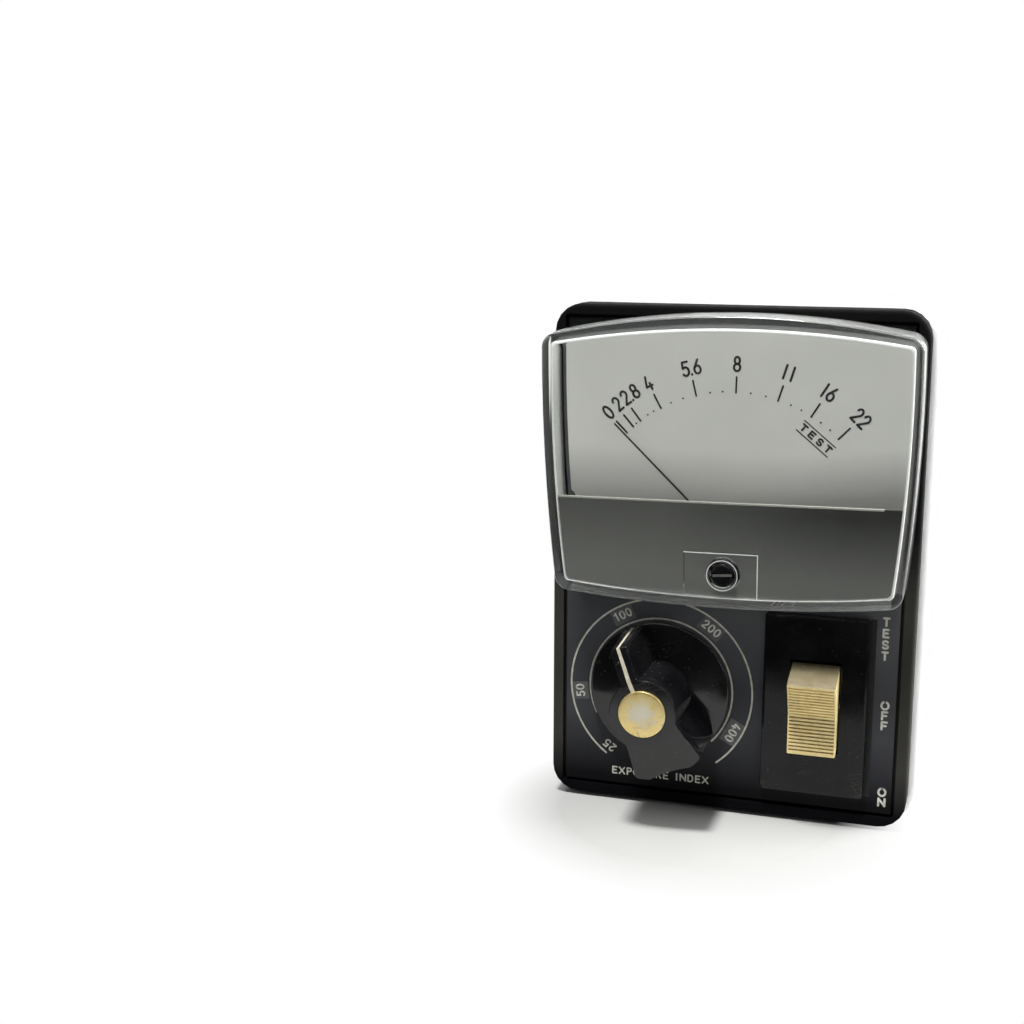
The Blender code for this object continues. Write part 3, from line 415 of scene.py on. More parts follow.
def window_shape(side, top, low, top_bow):
    """The meter window's outline, drawn in at its sides, its top and its foot."""
    top_half = WINDOW_TOP_HALF - side
    low_half = WINDOW_LOW_HALF - side
    high_z = WINDOW_TOP - top
    low_z = WINDOW_LOW + low
    corners = [(-low_half, low_z), (low_half, low_z), (top_half, high_z), (-top_half, high_z)]
    bows = (WINDOW_LOW_BOW, WINDOW_SIDE_BOW, top_bow, WINDOW_SIDE_BOW)
    radius = max(WINDOW_CORNER - side, WINDOW_INNER_CORNER)
    sides = [bowed_side(corners[i], corners[(i + 1) % 4], bows[i], radius) for i in range(4)]
    outline = []
    for index, corner in enumerate(corners):
        start = Vector(sides[index - 1][-1])
        end = Vector(sides[index][0])
        outline += quarter(start, Vector(corner), end, 8)[1:-1]
        outline += sides[index]
    return meter_turned(outline)


def window_outline(inset):
    return window_shape(inset, inset, inset, WINDOW_TOP_BOW)


def cavity_outline(inset):
    """Outline of the space inside the meter window. inset counts from its walls at the front plate."""
    return window_shape(CAVITY_SIDE + inset, CAVITY_TOP + inset, CAVITY_LOW + inset, CAVITY_TOP_BOW)


# Solids

def skin(rows, caps=True):
    """Faces through rows of points of equal count, each row closed, with a cap at each end."""
    bm = bmesh.new()
    verts = [[bm.verts.new(point) for point in row] for row in rows]
    if caps:
        bm.faces.new(verts[0])
        bm.faces.new(verts[-1][::-1])
    for near, far in zip(verts, verts[1:]):
        for i, vert in enumerate(near):
            j = (i + 1) % len(near)
            bm.faces.new((vert, far[i], far[j], near[j]))
    return bm


def loft(sections, caps=True):
    """Skin through outlines, each given with its depth."""
    return skin([[(x, depth, z) for x, z in outline] for outline, depth in sections], caps)


def prism(outline, front, back):
    return loft([(outline, front), (outline, back)])


def printed(outline, front):
    return prism(outline, front - PRINT, front + PRINT)


def turned(profile, sides, x=0.0, z=0.0):
    """Solid turned about Y from (radius, depth) points that start and end on the axis."""
    bm = bmesh.new()
    rows = []
    for radius, depth in profile:
        outline = circle(radius, sides, x, z) if radius else [(x, z)]
        rows.append([bm.verts.new((px, depth, pz)) for px, pz in outline])
    for near, far in zip(rows, rows[1:]):
        for i in range(sides):
            j = (i + 1) % sides
            if len(near) == 1:
                bm.faces.new((near[0], far[i], far[j]))
            elif len(far) == 1:
                bm.faces.new((near[i], near[j], far[0]))
            else:
                bm.faces.new((near[i], near[j], far[j], far[i]))
    return bm


def turned_ring(profile, sides, x, z):
    """Closed ring turned about Y from (radius, depth) points that go round its section."""
    rows = [(circle(radius, sides, x, z), depth) for radius, depth in (*profile, profile[0])]
    return loft(rows, caps=False)


def rounding(radius, steps):
    """Inset and drop of each row of a rounded edge, from the side up to the flat face."""
    angles = [math.radians(90 * step / steps) for step in range(steps + 1)]
    return [(radius * (1 - math.cos(a)), radius * (1 - math.sin(a))) for a in angles]


# Materials. Sizes of patterns are millimetres, and colours and roughness are as a shader takes them

class Nodes:
    """Short calls that add nodes to a tree and wire them."""

    def __init__(self, tree):
        self.tree = tree

    def feed(self, socket, value):
        if isinstance(value, bpy.types.NodeSocket):
            self.tree.links.new(value, socket)
        else:
            socket.default_value = value

    def add(self, kind, inputs=None, **settings):
        node = self.tree.nodes.new(kind)
        for key, value in settings.items():
            setattr(node, key, value)
        for key, value in (inputs or {}).items():
            self.feed(node.inputs[key], value)
        return node

    def math(self, operation, first, second, clamp=False):
        node = self.add("ShaderNodeMath", {0: first, 1: second}, operation=operation, use_clamp=clamp)
        return node.outputs[0]

    def between(self, value, low, high, to_low=0.0, to_high=1.0):
        """Value stretched so that low to high becomes to_low to to_high, held at both ends."""
        limits = {"From Min": low, "From Max": high, "To Min": to_low, "To Max": to_high}
        return self.add("ShaderNodeMapRange", {"Value": value, **limits}).outputs[0]

    def mix(self, share, first, second):
        """Shader that goes from first to second as share goes from 0 to 1."""
        return self.add("ShaderNodeMixShader", {0: share, 1: first, 2: second}).outputs[0]


class Look(Nodes):
    """One procedural material: a Principled shader, and short calls that wire patterns to it."""

    def __init__(self, name, colour, roughness, **sockets):
        self.material = bpy.data.materials.new(name)
        self.material.use_nodes = True
        super().__init__(self.material.node_tree)
        self.shader = self.tree.nodes["Principled BSDF"]
        self.set("Base Color", (*colour, 1.0))
        self.set("Roughness", roughness)
        for key, value in sockets.items():
            self.set(key.replace("_", " ").title().replace("Ior", "IOR"), value)
        self.place = self.add("ShaderNodeTexCoord").outputs["Object"]

    def set(self, socket, value):
        self.feed(self.shader.inputs[socket], value)

    def spread(self, stretch, turn):
        """Object place turned by degrees, then measured in the given millimetres along each axis."""
        place = self.place
        if any(turn):
            angles = tuple(math.radians(t) for t in turn)
            place = self.add("ShaderNodeMapping", {"Vector": place, "Rotation": angles}).outputs[0]
        scale = tuple(1 / (s * MM) for s in stretch)
        return self.add("ShaderNodeMapping", {"Vector": place, "Scale": scale}).outputs[0]

    def axis(self, name):
        return self.add("ShaderNodeSeparateXYZ", {0: self.place}).outputs[name]

    def along(self, axis, low, high, to_low=0.0, to_high=1.0):
        """Number that goes from to_low to to_high between two millimetre marks on an axis."""
        return self.between(self.axis(axis), low * MM, high * MM, to_low, to_high)

    def away(self, *point):
        """Distance in metres from a point of the part."""
        ends = {0: self.place, 1: tuple(scene_point(*point))}
        return self.add("ShaderNodeVectorMath", ends, operation="DISTANCE").outputs["Value"]

    def noise(self, size, detail=3.0, stretch=(1, 1, 1), turn=(0, 0, 0)):
        """Soft random pattern about 0.5 whose features are about size millimetres."""
        place = self.spread([size * s for s in stretch], turn)
        return self.add("ShaderNodeTexNoise", {"Vector": place, "Scale": 1.0, "Detail": detail}).outputs[0]

    def ramp(self, value, *stops):
        node = self.add("ShaderNodeValToRGB", {"Fac": value})
        points = node.color_ramp.elements
        while len(points) < len(stops):
            points.new(0.5)
        for point, (place, colour) in zip(points, stops):
            point.position = place
            point.color = (*colour, 1.0)
        return node.outputs["Color"]

    def mottle(self, pattern, dark, light, low=SOFT_START, high=SOFT_END):
        """Colour that follows a soft pattern from dark to light."""
        return self.ramp(pattern, (low, dark), (high, light))

    def blend(self, share, first, second):
        """Colour that goes from first to second as share goes from 0 to 1."""
        node = self.add("ShaderNodeMix", {0: share}, data_type="RGBA")
        for socket, colour in ((node.inputs[6], first), (node.inputs[7], second)):
            self.feed(socket, (*colour, 1.0) if isinstance(colour, tuple) else colour)
        return node.outputs[2]

    def stained(self, body, marks, share, colour):
        """Body colour, with marks of another colour that cover a share of it."""
        return self.blend(self.math("MULTIPLY", marks, share), body, colour)

    def specks(self, pitch, radius, share):
        """1 on scattered specks and 0 elsewhere. A share of the cells of pitch millimetres has one."""
        place = self.spread((pitch,) * 3, (0, 0, 0))
        node = self.add("ShaderNodeTexVoronoi", {"Vector": place, "Scale": 1.0})
        dot = self.between(node.outputs["Distance"], radius / pitch, SPECK_CORE * radius / pitch)
        pick = self.add("ShaderNodeSeparateColor", {"Color": node.outputs["Color"]}).outputs[0]
        return self.math("MULTIPLY", dot, self.math("LESS_THAN", pick, share))

    def dust(self, fine, coarse):
        """Two layers of specks."""
        return self.math("ADD", self.specks(*fine), self.specks(*coarse), True)

    def scratches(self, length, width, turn, share):
        """Hair lines along X before the turn, in patches."""
        lines = self.noise(1.0, 1.0, (length, width, width), turn)
        off_line = self.math("ABSOLUTE", self.math("SUBTRACT", lines, 0.5), 0.0)
        thin = self.between(off_line, 0.0, HAIR, 1.0, 0.0)
        patch = self.between(self.noise(SCRATCH_PATCH, 2.0), 1 - share, 1 - share + SCRATCH_EDGE)
        return self.math("MULTIPLY", thin, patch)

    def bump(self, height, depth, strength):
        node = self.add("ShaderNodeBump", {"Height": height, "Distance": depth * MM, "Strength": strength})
        self.set("Normal", node.outputs[0])

    def swap(self, share, shader):
        """Show another shader in place of the Principled one, as share goes from 0 to 1."""
        mixed = self.mix(share, self.shader.outputs[0], shader)
        self.feed(self.tree.nodes["Material Output"].inputs["Surface"], mixed)

    def finish(self, colour, gloss, grain=None):
        """Set the colour, uneven gloss and fine grain, and give the material.

        gloss is the size and detail of its pattern and the roughness from low to high.
        grain is the size of its pattern, its depth and its strength.
        """
        size, detail, low, high = gloss
        self.set("Base Color", colour)
        rough = self.between(self.noise(size, detail), SOFT_START, SOFT_END, low, high)
        self.set("Roughness", rough)
        if grain:
            size, depth, strength = grain
            self.bump(self.noise(size), depth, strength)
        return self.material


def black_moulding():
    """Black moulding, a little grey across its middle height: painted light on the side strips of its rim.
    """
    look = Look("black_moulding", (0.006, 0.006, 0.007), 0.6, specular_ior_level=0.02)
    # Painted light: a lighter grey band across the middle height stands in for light on the rim's side
    # strips; the foot and the top stay black.
    held = look.ramp(look.along("Z", 0, 100), (0.03, (0, 0, 0)), (0.12, (1, 1, 1)),
                     (0.42, (1, 1, 1)), (0.58, (0.1, 0.1, 0.1)))
    cloud = look.noise(14.0, 4.0)
    own_black = look.mottle(cloud, (0.003, 0.003, 0.004), (0.005, 0.005, 0.006))
    painted_light_grey = look.mottle(cloud, (0.042, 0.041, 0.037), (0.053, 0.052, 0.047))
    body = look.blend(held, own_black, painted_light_grey)
    dusty = look.stained(body, look.specks(1.7, 0.10, 0.22), 0.25, (0.22, 0.21, 0.19))
    return look.finish(dusty, (2.2, 5.0, 0.52, 0.68), (0.35, 0.02, 0.35))


def panel_black():
    """Printed black panel, with painted light under the window's right half, painted shade darkening its
    foot and painted shade in the recess at its top.
    """
    look = Look("panel_black", (0.03, 0.031, 0.037), 0.5, specular_ior_level=0.2)
    middle = look.mottle(look.noise(18.0, 4.0), (0.040, 0.041, 0.047), (0.058, 0.059, 0.066))
    # Painted light: lighter under the window's right half, where the window casts less shade.
    near = look.math("MULTIPLY", look.along("Z", 26, 40), look.along("X", -30, 2))
    lit = look.blend(near, middle, (0.090, 0.091, 0.096))
    # Painted shade: darker in the recess at the panel's top.
    upper = look.blend(look.along("Z", 86, 90), lit, (0.005, 0.005, 0.006))
    # Painted shade: darker towards the panel's foot.
    body = look.blend(look.along("Z", 5, 18, 0.97, 0.0), upper, (0.003, 0.003, 0.004))
    dust = look.dust((1.3, 0.08, 0.2), (3.1, 0.14, 0.15))
    dusty = look.stained(body, dust, 0.35, (0.28, 0.28, 0.27))
    look.set("Specular IOR Level", look.along("Z", 4, 20, 0.06, 0.2))
    return look.finish(dusty, (6.0, 5.0, 0.42, 0.58), (0.22, 0.012, 0.4))


def opal_shell():
    look = Look("opal_shell", (0.94, 0.93, 0.91), 0.35, subsurface_weight=1.0,
                subsurface_radius=(1, 1, 1), subsurface_scale=0.006)
    body = look.mottle(look.noise(22.0, 4.0), (0.93, 0.925, 0.90), (0.96, 0.955, 0.935))
    grimy = look.stained(body, look.specks(2.6, 0.12, 0.25), 0.25, (0.40, 0.37, 0.30))
    return look.finish(grimy, (4.0, 5.0, 0.28, 0.42), (0.5, 0.015, 0.3))


def dial_silver():
    """Satin silver lacquer, with painted shade darkening it towards its foot, most at the right."""
    look = Look("dial_silver", (0.6, 0.6, 0.58), 0.45, metallic=0.1)
    # Painted shade: the dial turns darker towards the mask at its foot, and more so at the right.
    shade_height = look.math("SUBTRACT", look.axis("Z"), look.along("X", 12, 30, 0.0, 2 * MM))
    light = look.mottle(look.noise(20.0), (0.735, 0.72, 0.695), (0.81, 0.79, 0.765))
    foot = look.blend(look.along("X", 5, 30), (0.47, 0.46, 0.445), (0.33, 0.322, 0.31))
    body = look.blend(look.between(shade_height, 63.5 * MM, 72.5 * MM), foot, light)
    fleck = look.noise(0.18, 2.0)
    grain = look.blend(look.between(fleck, 0.35, 0.7, 0.0, 0.10), body, (0.85, 0.85, 0.83))
    spotted = look.stained(grain, look.specks(4.0, 0.09, 0.2), 0.35, (0.30, 0.29, 0.26))
    look.bump(fleck, 0.008, 0.3)
    return look.finish(spotted, (0.18, 2.0, 0.38, 0.52))


def mask_grey():
    """Satin grey, with painted shade over its top, deepest at its right end, and a lighter foot that is a
    painted reflection of the pale floor.
    """
    look = Look("mask_grey", (0.09, 0.09, 0.085), 0.45)
    # Painted reflection: the foot lighter, most at the left, for the pale floor seen in the cover.
    foot = look.blend(look.along("X", -30, 30), (0.172, 0.172, 0.164), (0.138, 0.138, 0.131))
    # Painted shade: the top darker, most at the right.
    top = look.blend(look.along("X", -12, 22), (0.100, 0.100, 0.094), (0.024, 0.024, 0.023))
    body = look.blend(look.along("Z", 50, 62), foot, top)
    cloud = look.between(look.noise(12.0, 4.0), SOFT_START, SOFT_END, 0.0, 0.12)
    clouded = look.blend(cloud, body, (0.04, 0.04, 0.04))
    dust = look.dust((0.9, 0.07, 0.25), (2.4, 0.12, 0.2))
    dusty = look.stained(clouded, dust, 0.3, (0.32, 0.31, 0.29))
    return look.finish(dusty, (3.0, 4.0, 0.38, 0.55), (0.3, 0.012, 0.3))


def gloss_black(name, dust_share, shine):
    """Glossy black plastic with dust, hair scratches and a smeared shine."""
    look = Look(name, (0.006, 0.006, 0.007), 0.1, specular_ior_level=shine)
    dust = look.dust((0.8, 0.07, dust_share), (2.3, 0.13, dust_share))
    marks = look.math("ADD", look.scratches(14.0, 0.7, (0, 20, 0), 0.45),
                      look.scratches(9.0, 0.5, (0, -55, 0), 0.4), True)
    haze = look.noise(7.0, 5.0)
    body = look.mottle(haze, (0.004, 0.004, 0.005), (0.010, 0.010, 0.011), 0.35, 0.75)
    worn = look.stained(body, marks, 0.25, (0.20, 0.17, 0.12))
    look.set("Base Color", look.stained(worn, dust, 0.6, (0.34, 0.31, 0.25)))
    smear = look.between(haze, 0.35, 0.75, 0.06, 0.20)
    look.set("Roughness", look.math("ADD", smear, look.math("MULTIPLY", dust, 0.5), True))
    cut = look.math("MULTIPLY", marks, 0.4)
    look.bump(look.math("SUBTRACT", look.noise(1.2, 2.0), cut), 0.006, 0.25)
    return look.material


def gold_cap():
    """Gold plating, stained, and paler and less metallic round its middle."""
    look = Look("gold_cap", (0.8, 0.6, 0.25), 0.3, metallic=1.0)
    ragged = look.between(look.noise(1.4, 4.0), 0.2, 0.8, -1.2 * MM, 1.2 * MM)
    out = look.math("ADD", look.away(KNOB[0], CAP_FRONT, KNOB[1]), ragged)
    worn = look.between(out, 1.2 * MM, 3.2 * MM, 1.0, 0.0)
    gold = look.mottle(look.noise(2.5, 4.0), (0.88, 0.66, 0.25), (0.97, 0.79, 0.38))
    stain = look.between(look.noise(0.9, 5.0), 0.56, 0.72)
    plating = look.stained(gold, stain, 0.55, (0.42, 0.27, 0.09))
    body = look.blend(worn, plating, (0.80, 0.75, 0.60))
    look.set("Base Color", look.stained(body, look.specks(1.5, 0.17, 0.3), 0.6, (0.30, 0.22, 0.10)))
    look.set("Metallic", look.between(worn, 0.0, 1.0, 0.7, 0.45))
    look.set("Roughness", look.between(worn, 0.0, 1.0, 0.28, 0.5))
    look.bump(look.noise(0.5), 0.01, 0.3)
    return look.material


def ivory(name, dark, light, dirt_share):
    """Aged ivory plastic, with grime in specks and patches."""
    look = Look(name, light, 0.4, subsurface_weight=0.1, subsurface_scale=0.001)
    body = look.mottle(look.noise(3.0, 4.0), dark, light)
    patches = look.between(look.noise(1.6, 5.0), 0.5, 0.75, 0.0, dirt_share)
    specks = look.math("MULTIPLY", look.specks(0.9, 0.09, 0.3), 0.5)
    grimy = look.blend(look.math("MAXIMUM", patches, specks), body, (0.16, 0.115, 0.05))
    return look.finish(grimy, (1.0, 4.0, 0.5, 0.65), (0.3, 0.01, 0.3))


def clear_acrylic(name, transmission, roughness):
    """Clear plastic. Lamp light and bounced light pass straight through, so that the dial is lit."""
    look = Look(name, (0.93, 0.94, 0.92), roughness, transmission_weight=transmission, ior=1.49)
    marks = look.scratches(16.0, 0.6, (0, 35, 0), 0.4)
    look.set("Roughness", look.between(marks, 0.0, 1.0, roughness, roughness + 0.15))
    paths = look.add("ShaderNodeLightPath").outputs
    passing = look.math("ADD", paths["Is Shadow Ray"], paths["Is Diffuse Ray"], True)
    look.swap(passing, look.add("ShaderNodeBsdfTransparent", {"Color": (0.95, 0.96, 0.95, 1.0)}).outputs[0])
    return look.material


def two_tone(name, dark, light, roughness, pattern, gloss, grain=None, high=SOFT_END, **sockets):
    """Finish that wanders from a dark to a light colour in a pattern of a size and detail.

    gloss is the size and detail of its pattern and how far the roughness goes down and up.
    """
    look = Look(name, light, roughness, **sockets)
    size, detail, down, up = gloss
    body = look.mottle(look.noise(*pattern), dark, light, high=high)
    return look.finish(body, (size, detail, roughness - down, roughness + up), grain)


def ink(name, dark, light, roughness=0.5):
    """Printed or filled marks, a little uneven."""
    return two_tone(name, dark, light, roughness, (0.8, 4.0), (0.4, 3.0, UNEVEN, UNEVEN), high=0.65)


def metal(name, dark, light, roughness, size=1.2):
    return two_tone(name, dark, light, roughness, (size, 4.0), (0.4, 4.0, UNEVEN, 0.1),
                    (0.25, 0.006, 0.3), metallic=1.0)


def plain(name, dark, light, roughness, size):
    return two_tone(name, dark, light, roughness, (size, 5.0), (0.6, 4.0, UNEVEN, UNEVEN),
                    (0.3, 0.01, 0.3))


LOOKS = {
    "black_moulding": black_moulding(),
    "panel_print": panel_black(),
    "opal_shell": opal_shell(),
    "clear_acrylic": clear_acrylic("clear_acrylic", 1.0, 0.015),
    "dial_silver": dial_silver(),
    "mask_grey": mask_grey(),
    "gloss_black": gloss_black("gloss_black", 0.12, 0.26),
    "needle_black": two_tone("needle_black", (0.008, 0.008, 0.008), (0.018, 0.018, 0.018), 0.5,
                             (1.0, 3.0), (0.4, 3.0, 0.1, 0.1)),
    "gold_cap": gold_cap(),
    "ivory": ivory("ivory", (0.90, 0.72, 0.31), (0.97, 0.81, 0.40), 0.2),
    "steel": metal("steel", (0.42, 0.42, 0.43), (0.62, 0.62, 0.63), 0.32),
    "brass": metal("brass", (0.55, 0.40, 0.16), (0.76, 0.60, 0.30), 0.32),
    "magnet": metal("magnet", (0.16, 0.16, 0.17), (0.24, 0.24, 0.25), 0.45),
    "copper": metal("copper", (0.50, 0.22, 0.11), (0.68, 0.34, 0.19), 0.35, 0.3),
    "phenolic_board": plain("phenolic_board", (0.26, 0.14, 0.05), (0.40, 0.25, 0.11), 0.6, 3.0),
    "component": plain("component", (0.07, 0.12, 0.24), (0.13, 0.20, 0.36), 0.45, 2.0),
    "cell_wrap": plain("cell_wrap", (0.07, 0.07, 0.08), (0.13, 0.13, 0.15), 0.4, 5.0),
}
METER_BLACK = plain("meter_black", (0.06, 0.06, 0.061), (0.085, 0.085, 0.086), 0.6, 4.0)

CLEAR = LOOKS["clear_acrylic"]
HAZY_WALL = clear_acrylic("hazy_wall", 0.9, 0.1)
# Painted light: the left inner wall made nearly white, standing in for the light the acrylic carries there.
PAINTED_LIGHT_WALL = clear_acrylic("painted_light_wall", 0.1, 0.25)
HAZY_TOP = clear_acrylic("hazy_top", 1.0, 0.35)
HAZY_FOOT = clear_acrylic("hazy_foot", 0.78, 0.25)
PALE_EDGE = clear_acrylic("pale_edge", 1.0, 0.12)
# Painted highlight: nearly white on the cavity's front fillet, the pocket's edges and the collar, with a
# dimmer painted copy where the fillet lies in shade.
PAINTED_HIGHLIGHT = clear_acrylic("painted_highlight", 0.3, 0.3)
DIM_PAINTED_HIGHLIGHT = clear_acrylic("dim_painted_highlight", 0.82, 0.3)
HAZY_BASE = clear_acrylic("hazy_base", 0.965, 0.3)
WINDOW_FINISHES = [CLEAR, HAZY_WALL, PAINTED_LIGHT_WALL, HAZY_TOP, HAZY_FOOT, PALE_EDGE,
                   PAINTED_HIGHLIGHT, DIM_PAINTED_HIGHLIGHT, HAZY_BASE]

# Painted highlight along the lit top edge of the mask.
MASK_HIGHLIGHT = ink("mask_highlight", (0.32, 0.31, 0.28), (0.44, 0.43, 0.40))
SLOT_DUST = ink("slot_dust", (0.06, 0.06, 0.055), (0.12, 0.12, 0.11))
# Painted shadow: a near-black strip beside the switch bezel, where the bezel's shadow falls.
BEZEL_SHADOW_INK = ink("bezel_shadow_strip", (0.002, 0.002, 0.002), (0.006, 0.006, 0.006), 0.7)
CREAM = ink("cream_paint", (0.50, 0.46, 0.36), (0.66, 0.61, 0.48))
PANEL_INK = ink("panel_ink", (0.40, 0.39, 0.34), (0.58, 0.57, 0.50))
DIAL_INK = ink("dial_ink", (0.012, 0.011, 0.013), (0.03, 0.028, 0.032))
PATCH = ink("number_patch", (0.082, 0.084, 0.088), (0.104, 0.106, 0.110), 0.55)
NUMBER_INK = ink("number_ink", (0.46, 0.45, 0.41), (0.68, 0.67, 0.61))
KNOB_BLACK = gloss_black("knob_black", 0.4, 0.62)

DIRT = two_tone("groove_dirt", (0.40, 0.27, 0.12), (0.64, 0.46, 0.23), 0.7,
                (1.0, 4.0), (0.5, 3.0, 0.1, 0.1))
# Painted shade on the rocker's end faces: a dark copy of the ivory, with heavy grime patches as well.
SHADED_GRIMY_IVORY = ivory("shaded_grimy_ivory", (0.16, 0.13, 0.07), (0.24, 0.20, 0.12), 0.8)
# Painted light: the groove dirt of the upper half, made nearly ivory as if lit inside those grooves.
LIT_GROOVE_DIRT = ivory("lit_groove_dirt", (0.78, 0.60, 0.25), (0.90, 0.73, 0.34), 0.35)
ROCKER_FINISHES = [LOOKS["ivory"], DIRT, SHADED_GRIMY_IVORY, LIT_GROOVE_DIRT]


def finish_nodes():
    """Give every solid of the frame its finish."""
    for node in NODES.values():
        for material_slot in node.material_slots:
            slot_name = material_slot.material.name.split(".")[0]
            material_slot.material = LOOKS[slot_name]
    for material_slot in NODES["meter_body"].material_slots:
        material_slot.material = METER_BLACK


# Marks drawn as flat strokes

def stroke(bm, points, width, front):
    """Round-ended stroke along points of an X, Z plane, drawn as several where it bends sharply.

    Strokes that cross lie a hair in front of one another. Gives the depth for the next one.
    """
    spots = [Vector(p) for p in points]
    start = 0
    for index in range(1, len(spots) - 1):
        bend = (spots[index] - spots[index - 1]).angle(spots[index + 1] - spots[index])
        if bend > math.radians(SHARP_BEND):
            smooth_stroke(bm, spots[start:index + 1], width / 2, front)
            start = index
            front -= LAYER
    smooth_stroke(bm, spots[start:], width / 2, front)
    return front - LAYER


def smooth_stroke(bm, spots, half, front):
    directions = [(b - a).normalized() for a, b in zip(spots, spots[1:])]
    left, right = stroke_sides(spots, directions, half)
    start_cap = cap_points(spots[0], -directions[0], half)
    end_cap = cap_points(spots[-1], directions[-1], half)
    rims = []
    for depth in (front - PRINT, front + PRINT):
        lefts, rights, starts, ends = [[bm.verts.new((p.x, depth, p.y)) for p in part]
                                       for part in (left, right, start_cap, end_cap)]
        for i in range(len(directions)):
            bm.faces.new((rights[i], rights[i + 1], lefts[i + 1], lefts[i]))
        bm.faces.new([rights[-1], *ends, lefts[-1]])
        bm.faces.new([lefts[0], *starts, rights[0]])
        rims.append(rights + ends + lefts[::-1] + starts)
    near, far = rims
    for i in range(len(near)):
        bm.faces.new((near[i - 1], near[i], far[i], far[i - 1]))


def stroke_sides(spots, directions, half):
    """Points to the left and to the right of a line, mitred where it bends."""
    left, right = [], []
    for spot, arriving, leaving in zip(spots, directions[:1] + directions, directions + directions[-1:]):
        along = (arriving + leaving).normalized()
        side = Vector((-along.y, along.x)) * half / along.dot(leaving)
        left.append(spot + side)
        right.append(spot - side)
    return left, right


def cap_points(centre, along, half, steps=5):
    side = Vector((-along.y, along.x))
    angles = [math.radians(-90 + 180 * step / steps) for step in range(1, steps)]
    return [centre + (side * math.sin(a) + along * math.cos(a)) * half for a in angles]


# Each character's strokes, in a box one unit tall with its foot at zero and its middle at zero.
# A bar and an exclamation mark stand for a plain 1, and a tilde for a narrow space.

BOWL = arc_points((0.05, 0.74), 0.26, 0, 180, 10)
P_LINE = [(-0.29, 0), (-0.29, 1), (0.02, 1)] + BOWL[1:] + [(-0.29, 0.48)]
UPRIGHT = [(0, 0), (0, 1)]
GLYPHS = {
    "0": [arc_points((0, 0.5), (0.29, 0.5), 0, 360, 24)],
    "1": [[(-0.2, 0.78), (0.04, 1), (0.04, 0)]],
    "2": [arc_points((0, 0.72), (0.26, 0.28), -80, 115, 12) + [(-0.27, 0), (0.25, 0)]],
    "4": [[(-0.02, 1), (-0.3, 0.27), (0.3, 0.27)], [(0.12, 0.48), (0.12, 0)]],
    "5": [[(0.26, 1), (-0.2, 1), (-0.24, 0.55)] + arc_points((-0.02, 0.31), (0.30, 0.31), -40, 235, 16)],
    "6": [[(0.16, 1), (-0.2, 0.5)] + arc_points((0, 0.29), (0.28, 0.29), -62, 298, 22)],
    "8": [arc_points((0, 0.75), (0.23, 0.25), 180, 540, 20),
          arc_points((0, 0.26), (0.28, 0.26), 0, 360, 22)],
    ".": [[(0.05, 0.0), (0.05, 0.03)]],
    "|": [UPRIGHT],
    "!": [UPRIGHT],
    "~": [],
    "D": [[(-0.33, 0), (-0.33, 1), (0, 1)] + arc_points((0, 0.5), (0.36, 0.5), 12, 180, 14) + [(-0.33, 0)]],
    "E": [[(0.32, 1), (-0.3, 1), (-0.3, 0), (0.32, 0)], [(-0.3, 0.52), (0.22, 0.52)]],
    "F": [[(0.34, 1), (-0.3, 1), (-0.3, 0)], [(-0.3, 0.5), (0.22, 0.5)]],
    "I": [UPRIGHT],
    "N": [[(-0.4, 0), (-0.4, 1), (0.4, 0), (0.4, 1)]],
    "O": [arc_points((0, 0.5), (0.45, 0.5), 0, 360, 28)],
    "P": [P_LINE],
    "R": [P_LINE, [(0.02, 0.48), (0.34, 0)]],
    "S": [arc_points((0, 0.74), (0.3, 0.26), 65, -180, 14)
          + arc_points((0, 0.24), (0.32, 0.24), 12, 245, 14)],
    "T": [[(-0.34, 1), (0.34, 1)], [(0, 1), (0, 0)]],
    "U": [[(-0.33, 1), (-0.33, 0.3)] + arc_points((0, 0.3), (0.33, 0.3), -100, -260, 12) + [(0.33, 1)]],
    "X": [[(-0.4, 0), (0.4, 1)], [(-0.4, 1), (0.4, 0)]],
    " ": [],
}
STEPS = {"1": 0.8, "|": 0.81, "!": 0.62, ".": 0.05, "~": 0.2, "I": 0.7, " ": 0.63}


def lettering(bm, word, middle, angle, style, front):
    """Draw characters centred at middle and turned clockwise. Gives the length of the word."""
    scale = style.height - style.stroke
    steps = [STEPS.get(character, 1.0) * style.pitch for character in word]
    start = -sum(steps) / 2
    for character, step in zip(word, steps):
        centre = start + step / 2
        start += step
        depth = front
        for line in GLYPHS[character]:
            places = [(centre + x * style.width * scale, (z - 0.5) * scale) for x, z in line]
            depth = stroke(bm, [shifted(middle, angle, *place) for place in places], style.stroke, depth)
    return sum(steps)


def print_dial():
    ticks, numbers, dots, test = [bmesh.new() for _ in range(4)]
    for word, tick, angle, radius in SCALE:
        stroke(ticks, [around(PIVOT, reach, tick) for reach in TICK_REACH], TICK_WIDTH, DIAL_FRONT)
        lettering(numbers, word, around(PIVOT, radius, angle), angle, DIGIT_TYPE, DIAL_FRONT)
    for angle in DOTS:
        spot = around(PIVOT, TICK_REACH[0] + DOT_RADIUS, angle)
        merge(dots, printed(circle(DOT_RADIUS, 12, *spot), DIAL_FRONT))
    lettering(test, "TEST", TEST_MIDDLE, TEST_TURN, TEST_TYPE, DIAL_FRONT)
    for up in (-TEST_GAP / 2, TEST_GAP / 2):
        ends = [shifted(TEST_MIDDLE, TEST_TURN, along, up) for along in (-TEST_LENGTH / 2, TEST_LENGTH / 2)]
        stroke(test, ends, RULE_WIDTH, DIAL_FRONT)
    pieces = {"dial_ticks": ticks, "dial_numbers": numbers, "dial_dots": dots, "dial_test_band": test}
    for name, bm in pieces.items():
        add_piece(name, bm, "needle_black", DIAL_INK)


